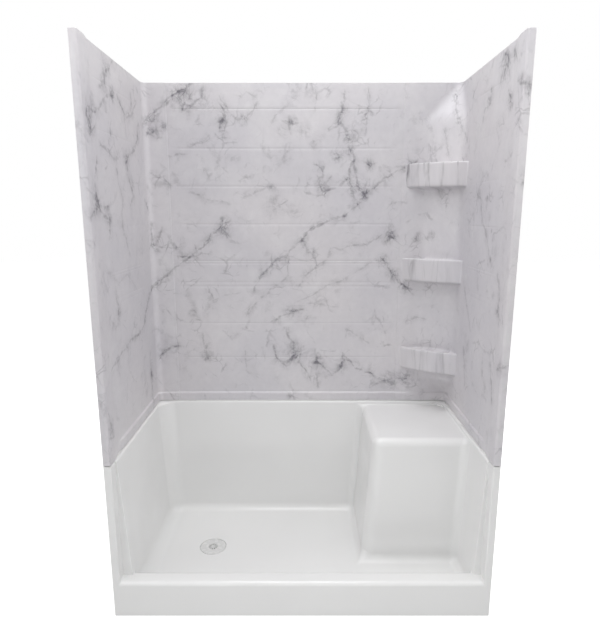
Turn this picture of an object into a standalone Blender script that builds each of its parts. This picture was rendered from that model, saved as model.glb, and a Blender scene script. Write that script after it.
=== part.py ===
"""Alcove shower surround, 54 x 27 in: a deep formed pan with a moulded seat, three formed wall
panels with a corner shelf tower, their foam backers and seals, and a drain with a lift-out strainer.

Metres, +Z up. The origin is the middle of the footprint at floor level, the opening faces -Y.
"""

import math

import bmesh
import bpy
from mathutils import Matrix, Vector

# Overall size
WIDTH = 1.372
DEPTH = 0.686
HEIGHT = 1.981
RIM_HEIGHT = 0.591
FIT_GAP = 0.0003
OVERRUN = 0.020
OVERLAP = 0.0005
SMOOTH_ANGLE = math.radians(32)

# Formed pan: the visible faces
PAN_SHEET = 0.004
FLOOR_HEIGHT = 0.050
FLOOR_FALL = 0.006
SILL_HEIGHT = 0.137
SILL_TOP_DEPTH = 0.068
SILL_FOOT_DEPTH = 0.078
SILL_FALL = 0.002
SIDE_RIM_INSET = 0.030
LEFT_FOOT_INSET = 0.064
RIGHT_FOOT_INSET = 0.056
BACK_FOOT_INSET = 0.046
JAMB_INSET = 0.025
REVEAL_DEPTH = 0.045
UPSTAND_HEIGHT = 0.025

# Moulded seat at the right rear, its width measured from the right side
SEAT_DROP = 0.018
SEAT_TOP_WIDTH = 0.404
SEAT_FOOT_WIDTH = 0.441
SEAT_TOP_X = WIDTH / 2 - SEAT_TOP_WIDTH
SEAT_FOOT_X = WIDTH / 2 - SEAT_FOOT_WIDTH
SEAT_TOP_DEPTH = 0.262
SEAT_FOOT_DEPTH = 0.247

# Fillets of the pan, measured on the visible side
FLOOR_FILLET = 0.032
FLOOR_LEFT_FILLET = 0.050
CORNER_FILLET = 0.065
SEAT_EDGE_FILLET = 0.030
SEAT_CORNER_FILLET = 0.050
SEAT_STEP_FILLET = 0.008
RIM_FILLET = 0.008
SILL_FILLET = 0.016
JAMB_FILLET = 0.006
REVEAL_FILLET = 0.003
FILLET_STEPS = 4

# Formed wall panels
WALL_SHEET = 0.003
WALL_INSET = 0.017
WALL_LIFT = 0.0035
WALL_CORNER = 0.026
FRONT_BEND = 0.010
BORDER_PROUD = 0.008
BORDER_FULL_DEPTH = 0.042
BORDER_END_DEPTH = 0.108
BORDER_STEPS = 6
BAND_PROUD = 0.006
BAND_HEIGHT = 0.040
BAND_SLOPE = 0.006
BAND_START_DEPTH = 0.112
BAND_FULL_DEPTH = 0.150
LAP_TAPE = 0.001
LAP_WIDTH = 0.030
LEFT_RETURN = 0.114
RIGHT_RETURN = 0.256
LEFT_SEAM_X = LEFT_RETURN - WIDTH / 2
RIGHT_SEAM_X = WIDTH / 2 - RIGHT_RETURN

# Pressed tile lines, at shares of the walls' height over the rim
LINE_WIDTH = 0.006
LINE_DEPTH = 0.0015
ACCENT_LOW_SHARE = 0.386
ACCENT_HIGH_SHARE = 0.468
LINE_SHARES = (0.150, 0.265, ACCENT_LOW_SHARE, 0.399, 0.460, ACCENT_HIGH_SHARE, 0.583, 0.699, 0.812, 0.926)
SEAM_MARGIN = 0.006
SIDE_LINE_START_DEPTH = 0.118
LEFT_LINE_REAR_GAP = 0.086
RIGHT_LINE_REAR_GAP = 0.206

# Corner shelf tower
TOWER_WIDTH = 0.142
TOWER_BAND_GAP = 0.006
CHIN_TIP = 0.008
CHIN_RISE = 0.075
SHELF_WIDTH = 0.222
SHELF_DEPTH = 0.142
SHELF_EDGE_X = WIDTH / 2 - WALL_INSET - SHELF_WIDTH
SHELF_TAPER_SHARE = 0.88
SHELF_FACE = 0.104
SHELF_LIP_SHARES = (0.188, 0.478, 0.766)
SHELF_LIP = 0.011
SHELF_TRAY = 0.006
SHELF_ROUND = 0.005
SHELF_UNDERCUT = 0.010
ROOF_TOP_GAP = 0.009
ROOF_RISE = 0.142
ROOF_TIP = 0.008
TOWER_LEAST_REACH = 0.002
SHELF_POWER = 1.25
TOWER_POWER = 0.90
OUTLINE_STEPS = 12

# Foam backers behind the wall panels
BACKER_FOOT_GAP = 0.004
BACKER_TOP_GAP = 0.012
BACKER_FRONT_DEPTH = 0.016

# Seals
SEAL_INSET = 0.0215
SEAL_WIDTH = 0.007

# Supports under the pan
PAD_MARGIN = 0.018
PAD_DRAIN_CLEARANCE = 0.020
CORE_HEIGHT_GAP = 0.001
BOARD = 0.012
SEAT_BOARD_MARGIN = 0.040
SEAT_LEG_MARGIN = 0.060
POST_WIDTH = 0.060
POST_THICKNESS = 0.022
BACK_POST_FROM_END = 0.386
SIDE_POST_DEPTH = 0.330

# Drain
DRAIN_FROM_LEFT = 0.305
DRAIN_X = DRAIN_FROM_LEFT - WIDTH / 2
DRAIN_DEPTH = 0.343
DRAIN_FLANGE_RADIUS = 0.055
DRAIN_FLANGE = 0.0025
DRAIN_RECESS = 0.0045
DRAIN_RECESS_GAP = 0.001
DRAIN_TAIL_RADIUS = 0.030
DRAIN_BORE_RADIUS = 0.0255
DRAIN_TAIL_END = 0.003
GASKET_RADIUS = 0.052
GASKET = 0.0025
WASHER_RADIUS = 0.048
WASHER = 0.0015
LOCKNUT_RADIUS = 0.045
LOCKNUT = 0.010
LOCKNUT_LUG = 0.006
LOCKNUT_LUG_WIDTH = 0.012
LOCKNUT_LUGS = 6
STRAINER_GAP = 0.0008
STRAINER = 0.0016
STRAINER_SKIRT = 0.009
STRAINER_SKIRT_WALL = 0.002
STRAINER_SLOTS = 12
SLOT_WIDTH = 0.003
SLOT_START_RADIUS = 0.009
SLOT_END_RADIUS = 0.021
ROUND_STEPS = 40


def clear_scene():
    """Remove what the file holds."""
    for item in list(bpy.data.objects):
        bpy.data.objects.remove(item, do_unlink=True)


def material(name, colour, roughness, metallic=0.0):
    """A plain Principled material with the piece's colour."""
    made = bpy.data.materials.get(name)
    if made:
        return made
    made = bpy.data.materials.new(name)
    made.use_nodes = True
    shader = made.node_tree.nodes["Principled BSDF"]
    shader.inputs["Base Color"].default_value = (*colour, 1.0)
    shader.inputs["Roughness"].default_value = roughness
    shader.inputs["Metallic"].default_value = metallic
    return made


def pan_plastic():
    return material("white_pan_plastic", (0.80, 0.80, 0.79), 0.22)


def wall_plastic():
    return material("marble_wall_plastic", (0.58, 0.56, 0.60), 0.32)


def foam():
    return material("white_foam", (0.86, 0.86, 0.84), 0.85)


def plywood():
    return material("plywood", (0.55, 0.38, 0.22), 0.65)


def drain_plastic():
    return material("white_drain_plastic", (0.82, 0.82, 0.81), 0.30)


def black_rubber():
    return material("black_rubber", (0.03, 0.03, 0.03), 0.75)


def fibre():
    return material("fibre_washer", (0.45, 0.36, 0.26), 0.80)


def white_sealant():
    return material("white_sealant", (0.85, 0.85, 0.84), 0.45)


def grey_tape():
    return material("grey_tape", (0.35, 0.35, 0.36), 0.70)


def add_object(name, shape, finish=None):
    """Turn a bmesh into a named object of the scene."""
    bmesh.ops.recalc_face_normals(shape, faces=shape.faces)
    mesh = bpy.data.meshes.new(name)
    shape.to_mesh(mesh)
    shape.free()
    mesh.shade_smooth()
    mesh.set_sharp_from_angle(angle=SMOOTH_ANGLE)
    made = bpy.data.objects.new(name, mesh)
    bpy.context.collection.objects.link(made)
    if finish:
        mesh.materials.append(finish)
    return made


def add_cutter(name, shape):
    """An object that only shapes others."""
    cutter = add_object(name, shape)
    cutter.display_type = "WIRE"
    cutter.hide_render = True
    return cutter


def combine(piece, other, operation):
    """Add a Boolean of the other object to the piece."""
    step = piece.modifiers.new(other.name, "BOOLEAN")
    step.operation = operation
    step.solver = "EXACT"
    step.object = other


def add_box(shape, low, high):
    """Add one closed box between two corners to a bmesh."""
    corners = [
        shape.verts.new((x, y, z))
        for z in (low[2], high[2])
        for x, y in ((low[0], low[1]), (high[0], low[1]), (high[0], high[1]), (low[0], high[1]))
    ]
    shape.faces.new(corners[:4][::-1])
    shape.faces.new(corners[4:])
    for index in range(4):
        after = (index + 1) % 4
        shape.faces.new((corners[index], corners[after], corners[after + 4], corners[index + 4]))


def box_shape(low, high):
    shape = bmesh.new()
    add_box(shape, low, high)
    return shape


def lathe_shape(profile, centre, steps=ROUND_STEPS):
    """Turn a closed outline of (radius, height) points about a vertical line."""
    shape = bmesh.new()
    rings = []
    for step in range(steps):
        angle = 2 * math.pi * step / steps
        rings.append([
            shape.verts.new((centre[0] + r * math.cos(angle), centre[1] + r * math.sin(angle), z))
            for r, z in profile
        ])
    count = len(profile)
    for step in range(steps):
        here = rings[step]
        there = rings[(step + 1) % steps]
        for index in range(count):
            after = (index + 1) % count
            shape.faces.new((here[index], there[index], there[after], here[after]))
    return shape


def disc_shape(radius, low, high, centre, steps=ROUND_STEPS):
    """A solid upright cylinder."""
    shape = bmesh.new()
    rings = []
    for height in (low, high):
        rings.append([
            shape.verts.new((
                centre[0] + radius * math.cos(2 * math.pi * step / steps),
                centre[1] + radius * math.sin(2 * math.pi * step / steps),
                height,
            ))
            for step in range(steps)
        ])
    shape.faces.new(rings[0][::-1])
    shape.faces.new(rings[1])
    for step in range(steps):
        after = (step + 1) % steps
        shape.faces.new((rings[0][step], rings[0][after], rings[1][after], rings[1][step]))
    return shape


def at_depth(depth):
    """World y of a depth measured back from the front plane."""
    return depth - DEPTH / 2


def on_wall(share):
    """World z at a share of the walls' height over the rim."""
    return RIM_HEIGHT + (HEIGHT - RIM_HEIGHT) * share


# Pan: the space above the pan is a polyhedron of named planes. Moved into the material by the
# sheet's thickness, the same planes give the underside, so the sheet has one thickness all over.

def level(height, slope_x=0.0, slope_y=0.0):
    """A near-level plane facing down into the material, at a height over the origin."""
    normal = Vector((slope_x, slope_y, -1.0)).normalized()
    return normal, normal.dot(Vector((0.0, 0.0, height)))


def upright(direction, reach, height=0.0, other_reach=None, other_height=1.0):
    """A wall plane that faces along direction into the material, drafted between two heights."""
    toward = Vector(direction)
    slope = 0.0
    if other_reach is not None:
        slope = (other_reach - reach) / (other_height - height)
    normal = toward - Vector((0.0, 0.0, slope))
    distance = reach - slope * height
    return normal.normalized(), distance / normal.length


LEFT = (-1.0, 0.0, 0.0)
RIGHT = (1.0, 0.0, 0.0)
BACK = (0.0, 1.0, 0.0)
FRONT = (0.0, -1.0, 0.0)


def pan_planes():
    """Every plane that bounds the space over the pan."""
    half = WIDTH / 2
    rim = half - SIDE_RIM_INSET
    back_rim = DEPTH / 2 - SIDE_RIM_INSET
    seat_height = RIM_HEIGHT - SEAT_DROP
    left_foot = half - LEFT_FOOT_INSET
    right_foot = half - RIGHT_FOOT_INSET
    back_foot = DEPTH / 2 - BACK_FOOT_INSET
    fall = FLOOR_FALL / WIDTH
    sill_fall = SILL_FALL / SILL_TOP_DEPTH
    return {
        "floor": level(FLOOR_HEIGHT, slope_x=fall),
        "left": upright(LEFT, left_foot, FLOOR_HEIGHT, rim, RIM_HEIGHT),
        "right": upright(RIGHT, right_foot, FLOOR_HEIGHT, rim, RIM_HEIGHT),
        "back": upright(BACK, back_foot, FLOOR_HEIGHT, back_rim, RIM_HEIGHT),
        "sill_inner": upright(
            FRONT, -at_depth(SILL_FOOT_DEPTH), FLOOR_HEIGHT, -at_depth(SILL_TOP_DEPTH), SILL_HEIGHT),
        "sill_top": level(SILL_HEIGHT - sill_fall * DEPTH / 2, slope_y=-sill_fall),
        "seat_top": level(seat_height),
        "seat_front": upright(
            BACK, at_depth(SEAT_FOOT_DEPTH), FLOOR_HEIGHT, at_depth(SEAT_TOP_DEPTH), seat_height),
        "seat_side": upright(RIGHT, SEAT_FOOT_X, FLOOR_HEIGHT, SEAT_TOP_X, seat_height),
        "reveal_left": upright(BACK, at_depth(REVEAL_DEPTH)),
        "reveal_right": upright(BACK, at_depth(REVEAL_DEPTH)),
        "jamb_left": upright(LEFT, half - JAMB_INSET),
        "jamb_right": upright(RIGHT, half - JAMB_INSET),
        "ledge": level(RIM_HEIGHT),
        "upstand_left": upright(LEFT, half - PAN_SHEET),
        "upstand_right": upright(RIGHT, half - PAN_SHEET),
        "upstand_back": upright(BACK, DEPTH / 2 - PAN_SHEET),
        "front": upright(BACK, -DEPTH / 2),
        "top": level(RIM_HEIGHT + UPSTAND_HEIGHT + OVERRUN),
        "near": upright(FRONT, DEPTH / 2 + 2 * OVERRUN),
        "side_left": upright(LEFT, half + OVERRUN),
        "side_right": upright(RIGHT, half + OVERRUN),
        "bottom": level(-OVERRUN),
    }


# The faces of that space: the planes that each face meets, in order round it.
PAN_FACES = {
    "floor": "sill_inner right seat_front seat_side back left",
    "left": "ledge back floor sill_inner sill_top reveal_left",
    "right": "ledge back seat_top seat_front floor sill_inner sill_top reveal_right",
    "back": "ledge left floor seat_side seat_top right",
    "sill_inner": "sill_top left floor right",
    "sill_top": "front jamb_left reveal_left left sill_inner right reveal_right jamb_right",
    "seat_top": "seat_side seat_front right back",
    "seat_front": "seat_top seat_side floor right",
    "seat_side": "seat_top seat_front floor back",
    "reveal_left": "ledge left sill_top jamb_left",
    "reveal_right": "ledge right sill_top jamb_right",
    "jamb_left": "ledge reveal_left sill_top front",
    "jamb_right": "ledge reveal_right sill_top front",
    "ledge": ("left back right reveal_right jamb_right front upstand_right upstand_back "
              "upstand_left front jamb_left reveal_left"),
    "upstand_left": "ledge upstand_back top front",
    "upstand_right": "ledge upstand_back top front",
    "upstand_back": "ledge upstand_left top upstand_right",
    "front": ("bottom side_right top upstand_right ledge jamb_right sill_top jamb_left ledge "
              "upstand_left top side_left"),
    "top": ("upstand_left upstand_back upstand_right front side_right near side_left front"),
    "side_left": "top front bottom near",
    "side_right": "top front bottom near",
    "near": "top side_left bottom side_right",
    "bottom": "near side_left front side_right",
}

# Fillets in the pan's inner corners, which get larger on the underside
PAN_HOLLOWS = {
    "floor left": FLOOR_LEFT_FILLET,
    "floor right": FLOOR_FILLET,
    "floor back": FLOOR_FILLET,
    "floor sill_inner": FLOOR_FILLET,
    "floor seat_front": FLOOR_FILLET,
    "floor seat_side": FLOOR_FILLET,
    "left back": CORNER_FILLET,
    "right back": CORNER_FILLET,
    "left sill_inner": RIM_FILLET,
    "right sill_inner": RIM_FILLET,
    "right seat_front": FLOOR_FILLET,
    "seat_side back": FLOOR_FILLET,
    "seat_top right": SEAT_STEP_FILLET,
    "seat_top back": SEAT_STEP_FILLET,
    "sill_top left": REVEAL_FILLET,
    "sill_top right": REVEAL_FILLET,
    "sill_top reveal_left": REVEAL_FILLET,
    "sill_top reveal_right": REVEAL_FILLET,
    "sill_top jamb_left": RIM_FILLET,
    "sill_top jamb_right": RIM_FILLET,
}

# Rounded outer edges of the pan, which get smaller on the underside
PAN_EDGES = {
    "seat_top seat_front": SEAT_EDGE_FILLET,
    "seat_top seat_side": SEAT_EDGE_FILLET,
    "seat_front seat_side": SEAT_CORNER_FILLET,
    "ledge left": RIM_FILLET,
    "ledge right": RIM_FILLET,
    "ledge back": RIM_FILLET,
    "ledge reveal_left": RIM_FILLET,
    "ledge reveal_right": RIM_FILLET,
    "ledge jamb_left": RIM_FILLET,
    "ledge jamb_right": RIM_FILLET,
    "left reveal_left": REVEAL_FILLET,
    "right reveal_right": REVEAL_FILLET,
    "sill_top front": SILL_FILLET,
    "sill_top sill_inner": SILL_FILLET,
    "front jamb_left": JAMB_FILLET,
    "front jamb_right": JAMB_FILLET,
}


def meeting_point(planes, names):
    """The point where three planes cross."""
    (a, da), (b, db), (c, dc) = [planes[name] for name in names]
    cross = b.cross(c)
    return (cross * da + c.cross(a) * db + a.cross(b) * dc) / a.dot(cross)


def pan_space(name, growth):
    """The space over the pan with its planes moved into the material and its edges rounded."""
    planes = pan_planes()
    free = ("top", "near", "side_left", "side_right", "bottom")
    clipped = ("upstand_left", "upstand_right", "upstand_back")
    for plane in planes:
        normal, distance = planes[plane]
        if plane in clipped and growth > 0:
            planes[plane] = (normal, distance + growth + OVERRUN / 2)
        elif plane not in free:
            planes[plane] = (normal, distance + growth)
    shape = bmesh.new()
    weight = shape.edges.layers.float.new("bevel_weight_edge")
    corners = {}
    pairs = {}

    def corner(*names):
        key = frozenset(names)
        if key not in corners:
            corners[key] = shape.verts.new(meeting_point(planes, names))
        return corners[key]

    for plane, neighbours in PAN_FACES.items():
        around = neighbours.split()
        points = [corner(plane, around[i], around[(i + 1) % len(around)]) for i in range(len(around))]
        face = shape.faces.new(points)
        for index, loop in enumerate(face.loops):
            pair = frozenset((plane, around[(index + 1) % len(around)]))
            pairs.setdefault(pair, set()).add(loop.edge)
    largest = max(*PAN_HOLLOWS.values(), *PAN_EDGES.values()) + growth
    for table, change in ((PAN_HOLLOWS, growth), (PAN_EDGES, -growth)):
        for pair, radius in table.items():
            for edge in pairs[frozenset(pair.split())]:
                edge[weight] = max(radius + change, 0.0) / largest
    space = add_cutter(name, shape)
    rounding = space.modifiers.new("rounding", "BEVEL")
    rounding.limit_method = "WEIGHT"
    rounding.width = largest
    rounding.segments = FILLET_STEPS
    rounding.use_clamp_overlap = False
    return space


def floor_under(x):
    """Height of the pan floor's visible face at x."""
    return FLOOR_HEIGHT + x * FLOOR_FALL / WIDTH


def build_pan():
    """The one-piece formed pan: basin, threshold, jambs, seat, rim ledge and tiling upstand."""
    half = WIDTH / 2
    low = (-half, -DEPTH / 2 - OVERRUN, 0.0)
    high = (half, DEPTH / 2, RIM_HEIGHT + UPSTAND_HEIGHT)
    pan = add_object("shower_pan", box_shape(low, high), pan_plastic())
    combine(pan, pan_space("pan_underside_space", PAN_SHEET), "INTERSECT")
    centre = (DRAIN_X, at_depth(DRAIN_DEPTH))
    floor = floor_under(DRAIN_X)
    recess = floor - DRAIN_RECESS
    radius = DRAIN_FLANGE_RADIUS + DRAIN_RECESS_GAP
    cup = disc_shape(radius + PAN_SHEET, recess - PAN_SHEET, floor - PAN_SHEET / 2, centre)
    combine(pan, add_cutter("drain_cup", cup), "UNION")
    combine(pan, pan_space("pan_space", 0.0), "DIFFERENCE")
    recess_cut = disc_shape(radius, recess, floor + OVERRUN, centre)
    combine(pan, add_cutter("drain_recess", recess_cut), "DIFFERENCE")
    hole = disc_shape(DRAIN_TAIL_RADIUS + FIT_GAP, recess - OVERRUN, recess + OVERRUN, centre)
    combine(pan, add_cutter("drain_hole", hole), "DIFFERENCE")
    flange_room = box_shape(
        (-half - OVERRUN, -DEPTH / 2 - OVERRUN, RIM_HEIGHT + WALL_LIFT - FIT_GAP),
        (half + OVERRUN, -DEPTH / 2 + WALL_SHEET + FIT_GAP, RIM_HEIGHT + UPSTAND_HEIGHT + OVERRUN))
    combine(pan, add_cutter("panel_flange_room", flange_room), "DIFFERENCE")
    return pan


# Wall panels: a plan path that runs along the visible face, and a section that runs up it.

def offset_line(points, distance):
    """Move an open line sideways, to the left of its direction, with mitred corners."""
    moved = []
    for index, point in enumerate(points):
        ways = []
        if index > 0:
            ways.append((point - points[index - 1]).normalized())
        if index < len(points) - 1:
            ways.append((points[index + 1] - point).normalized())
        sides = [Vector((-way.y, way.x)) for way in ways]
        middle = sum(sides, Vector((0.0, 0.0))).normalized()
        moved.append(point + middle * (distance / middle.dot(sides[0])))
    return moved


def wall_section(proud_share):
    """Section of a wall sheet as (out, height) points: foot band and face."""
    foot = RIM_HEIGHT + WALL_LIFT
    band = foot + BAND_HEIGHT
    proud = BAND_PROUD * proud_share
    visible = [
        Vector((proud, foot)),
        Vector((proud, band - BAND_SLOPE)),
        Vector((0.0, band)),
        Vector((0.0, HEIGHT)),
    ]
    return visible, offset_line(visible, WALL_SHEET)


def sheet_shape(path):
    """A formed sheet along a plan path of (point, way out of the face, band share)."""
    shape = bmesh.new()
    fronts = []
    rears = []
    for point, out, share in path:
        visible, hidden = wall_section(share)
        for section, columns in ((visible, fronts), (hidden, rears)):
            columns.append([
                shape.verts.new((point.x + out.x * d, point.y + out.y * d, z)) for d, z in section])
    for columns in (fronts, rears):
        for here, there in zip(columns, columns[1:]):
            for index in range(len(here) - 1):
                shape.faces.new((here[index], there[index], there[index + 1], here[index + 1]))
    last = len(fronts[0]) - 1
    for index in range(len(fronts) - 1):
        for row in (0, last):
            shape.faces.new((
                fronts[index][row], fronts[index + 1][row], rears[index + 1][row], rears[index][row]))
    for column in (0, len(fronts) - 1):
        for row in range(last):
            shape.faces.new((
                fronts[column][row], fronts[column][row + 1], rears[column][row + 1], rears[column][row]))
    return shape


def turn(centre, radius, start, end, steps, share, inward=1.0):
    """Plan points round a bend; inward is -1 where the bend is hollow on the visible side."""
    points = []
    for step in range(steps + 1):
        angle = start + (end - start) * step / steps
        out = Vector((math.cos(angle), math.sin(angle)))
        points.append((centre + out * radius * inward, out, share))
    return points


def end_panel_path(side, seam_x):
    """Plan of an end panel: front flange, raised border, side wall, rear corner and return."""
    face_x = WIDTH / 2 - WALL_INSET
    front_y = -DEPTH / 2
    return_y = DEPTH / 2 - WALL_INSET - WALL_SHEET - lap_room()
    quarter = math.pi / 2
    front = Vector((0.0, -1.0))
    across = Vector((-1.0, 0.0))
    border_x = face_x - BORDER_PROUD
    bend_centre = Vector((border_x + FRONT_BEND, front_y + FRONT_BEND))
    corner_centre = Vector((face_x - WALL_CORNER, return_y - WALL_CORNER))
    path = [(Vector((WIDTH / 2, front_y)), front, 0.0)]
    path += turn(bend_centre, FRONT_BEND, -quarter, -math.pi, FILLET_STEPS, 0.0)
    for step in range(BORDER_STEPS + 1):
        along = step / BORDER_STEPS
        eased = along * along * (3 - 2 * along)
        depth = BORDER_FULL_DEPTH + (BORDER_END_DEPTH - BORDER_FULL_DEPTH) * along
        path.append((Vector((border_x + BORDER_PROUD * eased, at_depth(depth))), across, 0.0))
    path.append((Vector((face_x, at_depth(BAND_START_DEPTH))), across, 0.0))
    path.append((Vector((face_x, at_depth(BAND_FULL_DEPTH))), across, 1.0))
    path += turn(corner_centre, WALL_CORNER, -math.pi, -quarter, FILLET_STEPS, 1.0, inward=-1.0)
    path.append((Vector((abs(seam_x), return_y)), front, 1.0))
    if side > 0:
        return path
    return [(Vector((-point.x, point.y)), Vector((-out.x, out.y)), share) for point, out, share in path]


def lap_room():
    """Room between a return and the back panel for the lap tape."""
    return LAP_TAPE + 2 * FIT_GAP


def add_line(shape, start, end, out):
    """Add the V-shaped cutter of one pressed line, twice as wide and deep as the line it leaves."""
    along = (end - start).normalized()
    wide = along.cross(out) * LINE_WIDTH
    proud = out * LINE_DEPTH
    rings = []
    for point in (start, end):
        rings.append([
            shape.verts.new(point + wide + proud),
            shape.verts.new(point - proud),
            shape.verts.new(point - wide + proud),
        ])
    shape.faces.new(rings[0][::-1])
    shape.faces.new(rings[1])
    for index in range(3):
        after = (index + 1) % 3
        shape.faces.new((rings[0][index], rings[0][after], rings[1][after], rings[1][index]))


def line_cutter(name, start, end, out):
    """Cutter for every level line of one wall, between two plan points of its face."""
    shape = bmesh.new()
    for share in LINE_SHARES:
        lift = Vector((0.0, 0.0, on_wall(share)))
        add_line(shape, start.to_3d() + lift, end.to_3d() + lift, out)
    return add_cutter(name, shape)


def build_back_panel():
    """The flat middle panel, whose edges lie behind the end panels' returns."""
    face_y = DEPTH / 2 - WALL_INSET
    front = Vector((0.0, -1.0))
    left = LEFT_SEAM_X - LAP_WIDTH
    right = SHELF_EDGE_X - FIT_GAP
    path = [(Vector((left, face_y)), front, 1.0), (Vector((right, face_y)), front, 1.0)]
    panel = add_object("back_panel", sheet_shape(path), wall_plastic())
    start = Vector((LEFT_SEAM_X + SEAM_MARGIN, face_y))
    end = Vector((RIGHT_SEAM_X - SEAM_MARGIN, face_y))
    out = Vector((0.0, -1.0, 0.0))
    combine(panel, line_cutter("back_line_cutter", start, end, out), "DIFFERENCE")
    ends = bmesh.new()
    for point in (start, end):
        low = point.to_3d() + Vector((0.0, 0.0, on_wall(ACCENT_LOW_SHARE)))
        high = point.to_3d() + Vector((0.0, 0.0, on_wall(ACCENT_HIGH_SHARE)))
        add_line(ends, low, high, out)
    combine(panel, add_cutter("accent_end_cutter", ends), "DIFFERENCE")
    return panel


def side_lines(side, rear_gap):
    """Cutter for the level lines on one side wall, which stop short of the rear corner."""
    face_x = side * (WIDTH / 2 - WALL_INSET)
    start = Vector((face_x, at_depth(SIDE_LINE_START_DEPTH)))
    end = Vector((face_x, DEPTH / 2 - rear_gap))
    name = "right_line_cutter" if side > 0 else "left_line_cutter"
    return line_cutter(name, start, end, Vector((-side, 0.0, 0.0)))


def build_left_end_panel():
    panel = add_object("left_end_panel", sheet_shape(end_panel_path(-1, LEFT_SEAM_X)), wall_plastic())
    combine(panel, side_lines(-1, LEFT_LINE_REAR_GAP), "DIFFERENCE")
    return panel


# Shelf tower: outlines drawn round the corner, one above the other. Reach is an outline's distance
# from the corner, measured square to its diagonal.

def tower_section():
    """The tower's section as (reach, height, power) from the chin's tip to the roof's tip."""
    diagonal = math.hypot(SHELF_WIDTH, SHELF_DEPTH)
    shelf = SHELF_WIDTH * SHELF_DEPTH / diagonal
    tower = shelf * TOWER_WIDTH / SHELF_WIDTH
    chin = RIM_HEIGHT + WALL_LIFT + BAND_HEIGHT + TOWER_BAND_GAP
    section = [(CHIN_TIP, chin, TOWER_POWER), (tower, chin + CHIN_RISE, TOWER_POWER)]
    for share in SHELF_LIP_SHARES:
        lip = on_wall(share)
        under = lip - SHELF_FACE
        foot = shelf * SHELF_TAPER_SHARE
        section += [
            (tower, under - SHELF_UNDERCUT, TOWER_POWER),
            (foot - SHELF_ROUND, under, SHELF_POWER),
            (foot, under + SHELF_ROUND, SHELF_POWER),
            (shelf, lip - SHELF_ROUND, SHELF_POWER),
            (shelf - SHELF_ROUND / 2, lip, SHELF_POWER),
            (shelf - SHELF_LIP, lip, SHELF_POWER),
            (shelf - SHELF_LIP - SHELF_ROUND / 2, lip - SHELF_TRAY, SHELF_POWER),
            (tower + SHELF_ROUND, lip - SHELF_TRAY, TOWER_POWER),
            (tower, lip - SHELF_TRAY + SHELF_ROUND, TOWER_POWER),
        ]
    roof = HEIGHT - ROOF_TOP_GAP
    section.append((tower, roof - ROOF_RISE, TOWER_POWER))
    section.append((ROOF_TIP, roof, TOWER_POWER))
    return section


def outline(centre, reach, power, behind):
    """Plan outline round a centre inside the sheet's rear corner, carried on past it by behind."""
    diagonal = math.hypot(SHELF_WIDTH, SHELF_DEPTH)
    wide = reach * diagonal / SHELF_DEPTH + WALL_SHEET / 2
    deep = reach * diagonal / SHELF_WIDTH + WALL_SHEET / 2
    points = []
    for step in range(OUTLINE_STEPS + 1):
        angle = math.pi / 2 * step / OUTLINE_STEPS
        points.append(Vector((
            centre.x - wide * abs(math.cos(angle)) ** (2 / power),
            centre.y - deep * math.sin(angle) ** (2 / power),
        )))
    if behind:
        points.insert(0, Vector((points[0].x, centre.y + behind)))
        points.append(Vector((centre.x + behind, points[-1].y)))
    return points


def tower_shape(growth, behind):
    """The tower as a closed loft, moved into itself by growth, and past the sheet by behind."""
    return_y = DEPTH / 2 - WALL_INSET - WALL_SHEET - lap_room()
    centre = Vector((WIDTH / 2 - WALL_INSET, return_y)) + Vector((WALL_SHEET, WALL_SHEET)) / 2
    section = tower_section()
    line = offset_line([Vector((reach, height)) for reach, height, power in section], growth)
    shape = bmesh.new()
    rings = []
    for (reach, height), (_, _, power) in zip(line, section):
        points = outline(centre, max(reach, TOWER_LEAST_REACH), power, behind)
        rings.append([shape.verts.new((point.x, point.y, height)) for point in points])
    for below, above in zip(rings, rings[1:]):
        for index in range(len(below) - 1):
            shape.faces.new((below[index], below[index + 1], above[index + 1], above[index]))
    rear_low, rear_high = [
        shape.verts.new((centre.x + behind, centre.y + behind, line[end].y)) for end in (0, -1)]
    shape.faces.new(rings[0] + [rear_low])
    shape.faces.new(rings[-1] + [rear_high])
    for side in (0, -1):
        shape.faces.new([ring[side] for ring in rings] + [rear_high, rear_low])
    return shape


def build_right_end_panel():
    """The right end panel, formed in one sheet with the corner shelf tower."""
    panel = add_object("right_end_panel", sheet_shape(end_panel_path(1, RIGHT_SEAM_X)), wall_plastic())
    combine(panel, side_lines(1, RIGHT_LINE_REAR_GAP), "DIFFERENCE")
    combine(panel, add_cutter("tower_form", tower_shape(0.0, 0.0)), "UNION")
    combine(panel, add_cutter("tower_hollow", tower_shape(WALL_SHEET, OVERRUN)), "DIFFERENCE")
    return panel


# Backers, seals and supports

def build_backers():
    """Foam boards behind the panels, which give them a flat back to bond to the alcove."""
    low_z = RIM_HEIGHT + UPSTAND_HEIGHT + BACKER_FOOT_GAP
    high_z = HEIGHT - BACKER_TOP_GAP
    rear = WALL_INSET - WALL_SHEET - FIT_GAP
    inner_x = WIDTH / 2 - rear
    inner_y = DEPTH / 2 - rear
    add_object("back_backer", box_shape(
        (-inner_x + FIT_GAP, inner_y, low_z), (inner_x - FIT_GAP, DEPTH / 2, high_z)), foam())
    for side, name in ((-1, "left_backer"), (1, "right_backer")):
        edges = sorted((side * inner_x, side * WIDTH / 2))
        add_object(name, box_shape(
            (edges[0], at_depth(BACKER_FRONT_DEPTH), low_z), (edges[1], DEPTH / 2, high_z)), foam())


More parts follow.
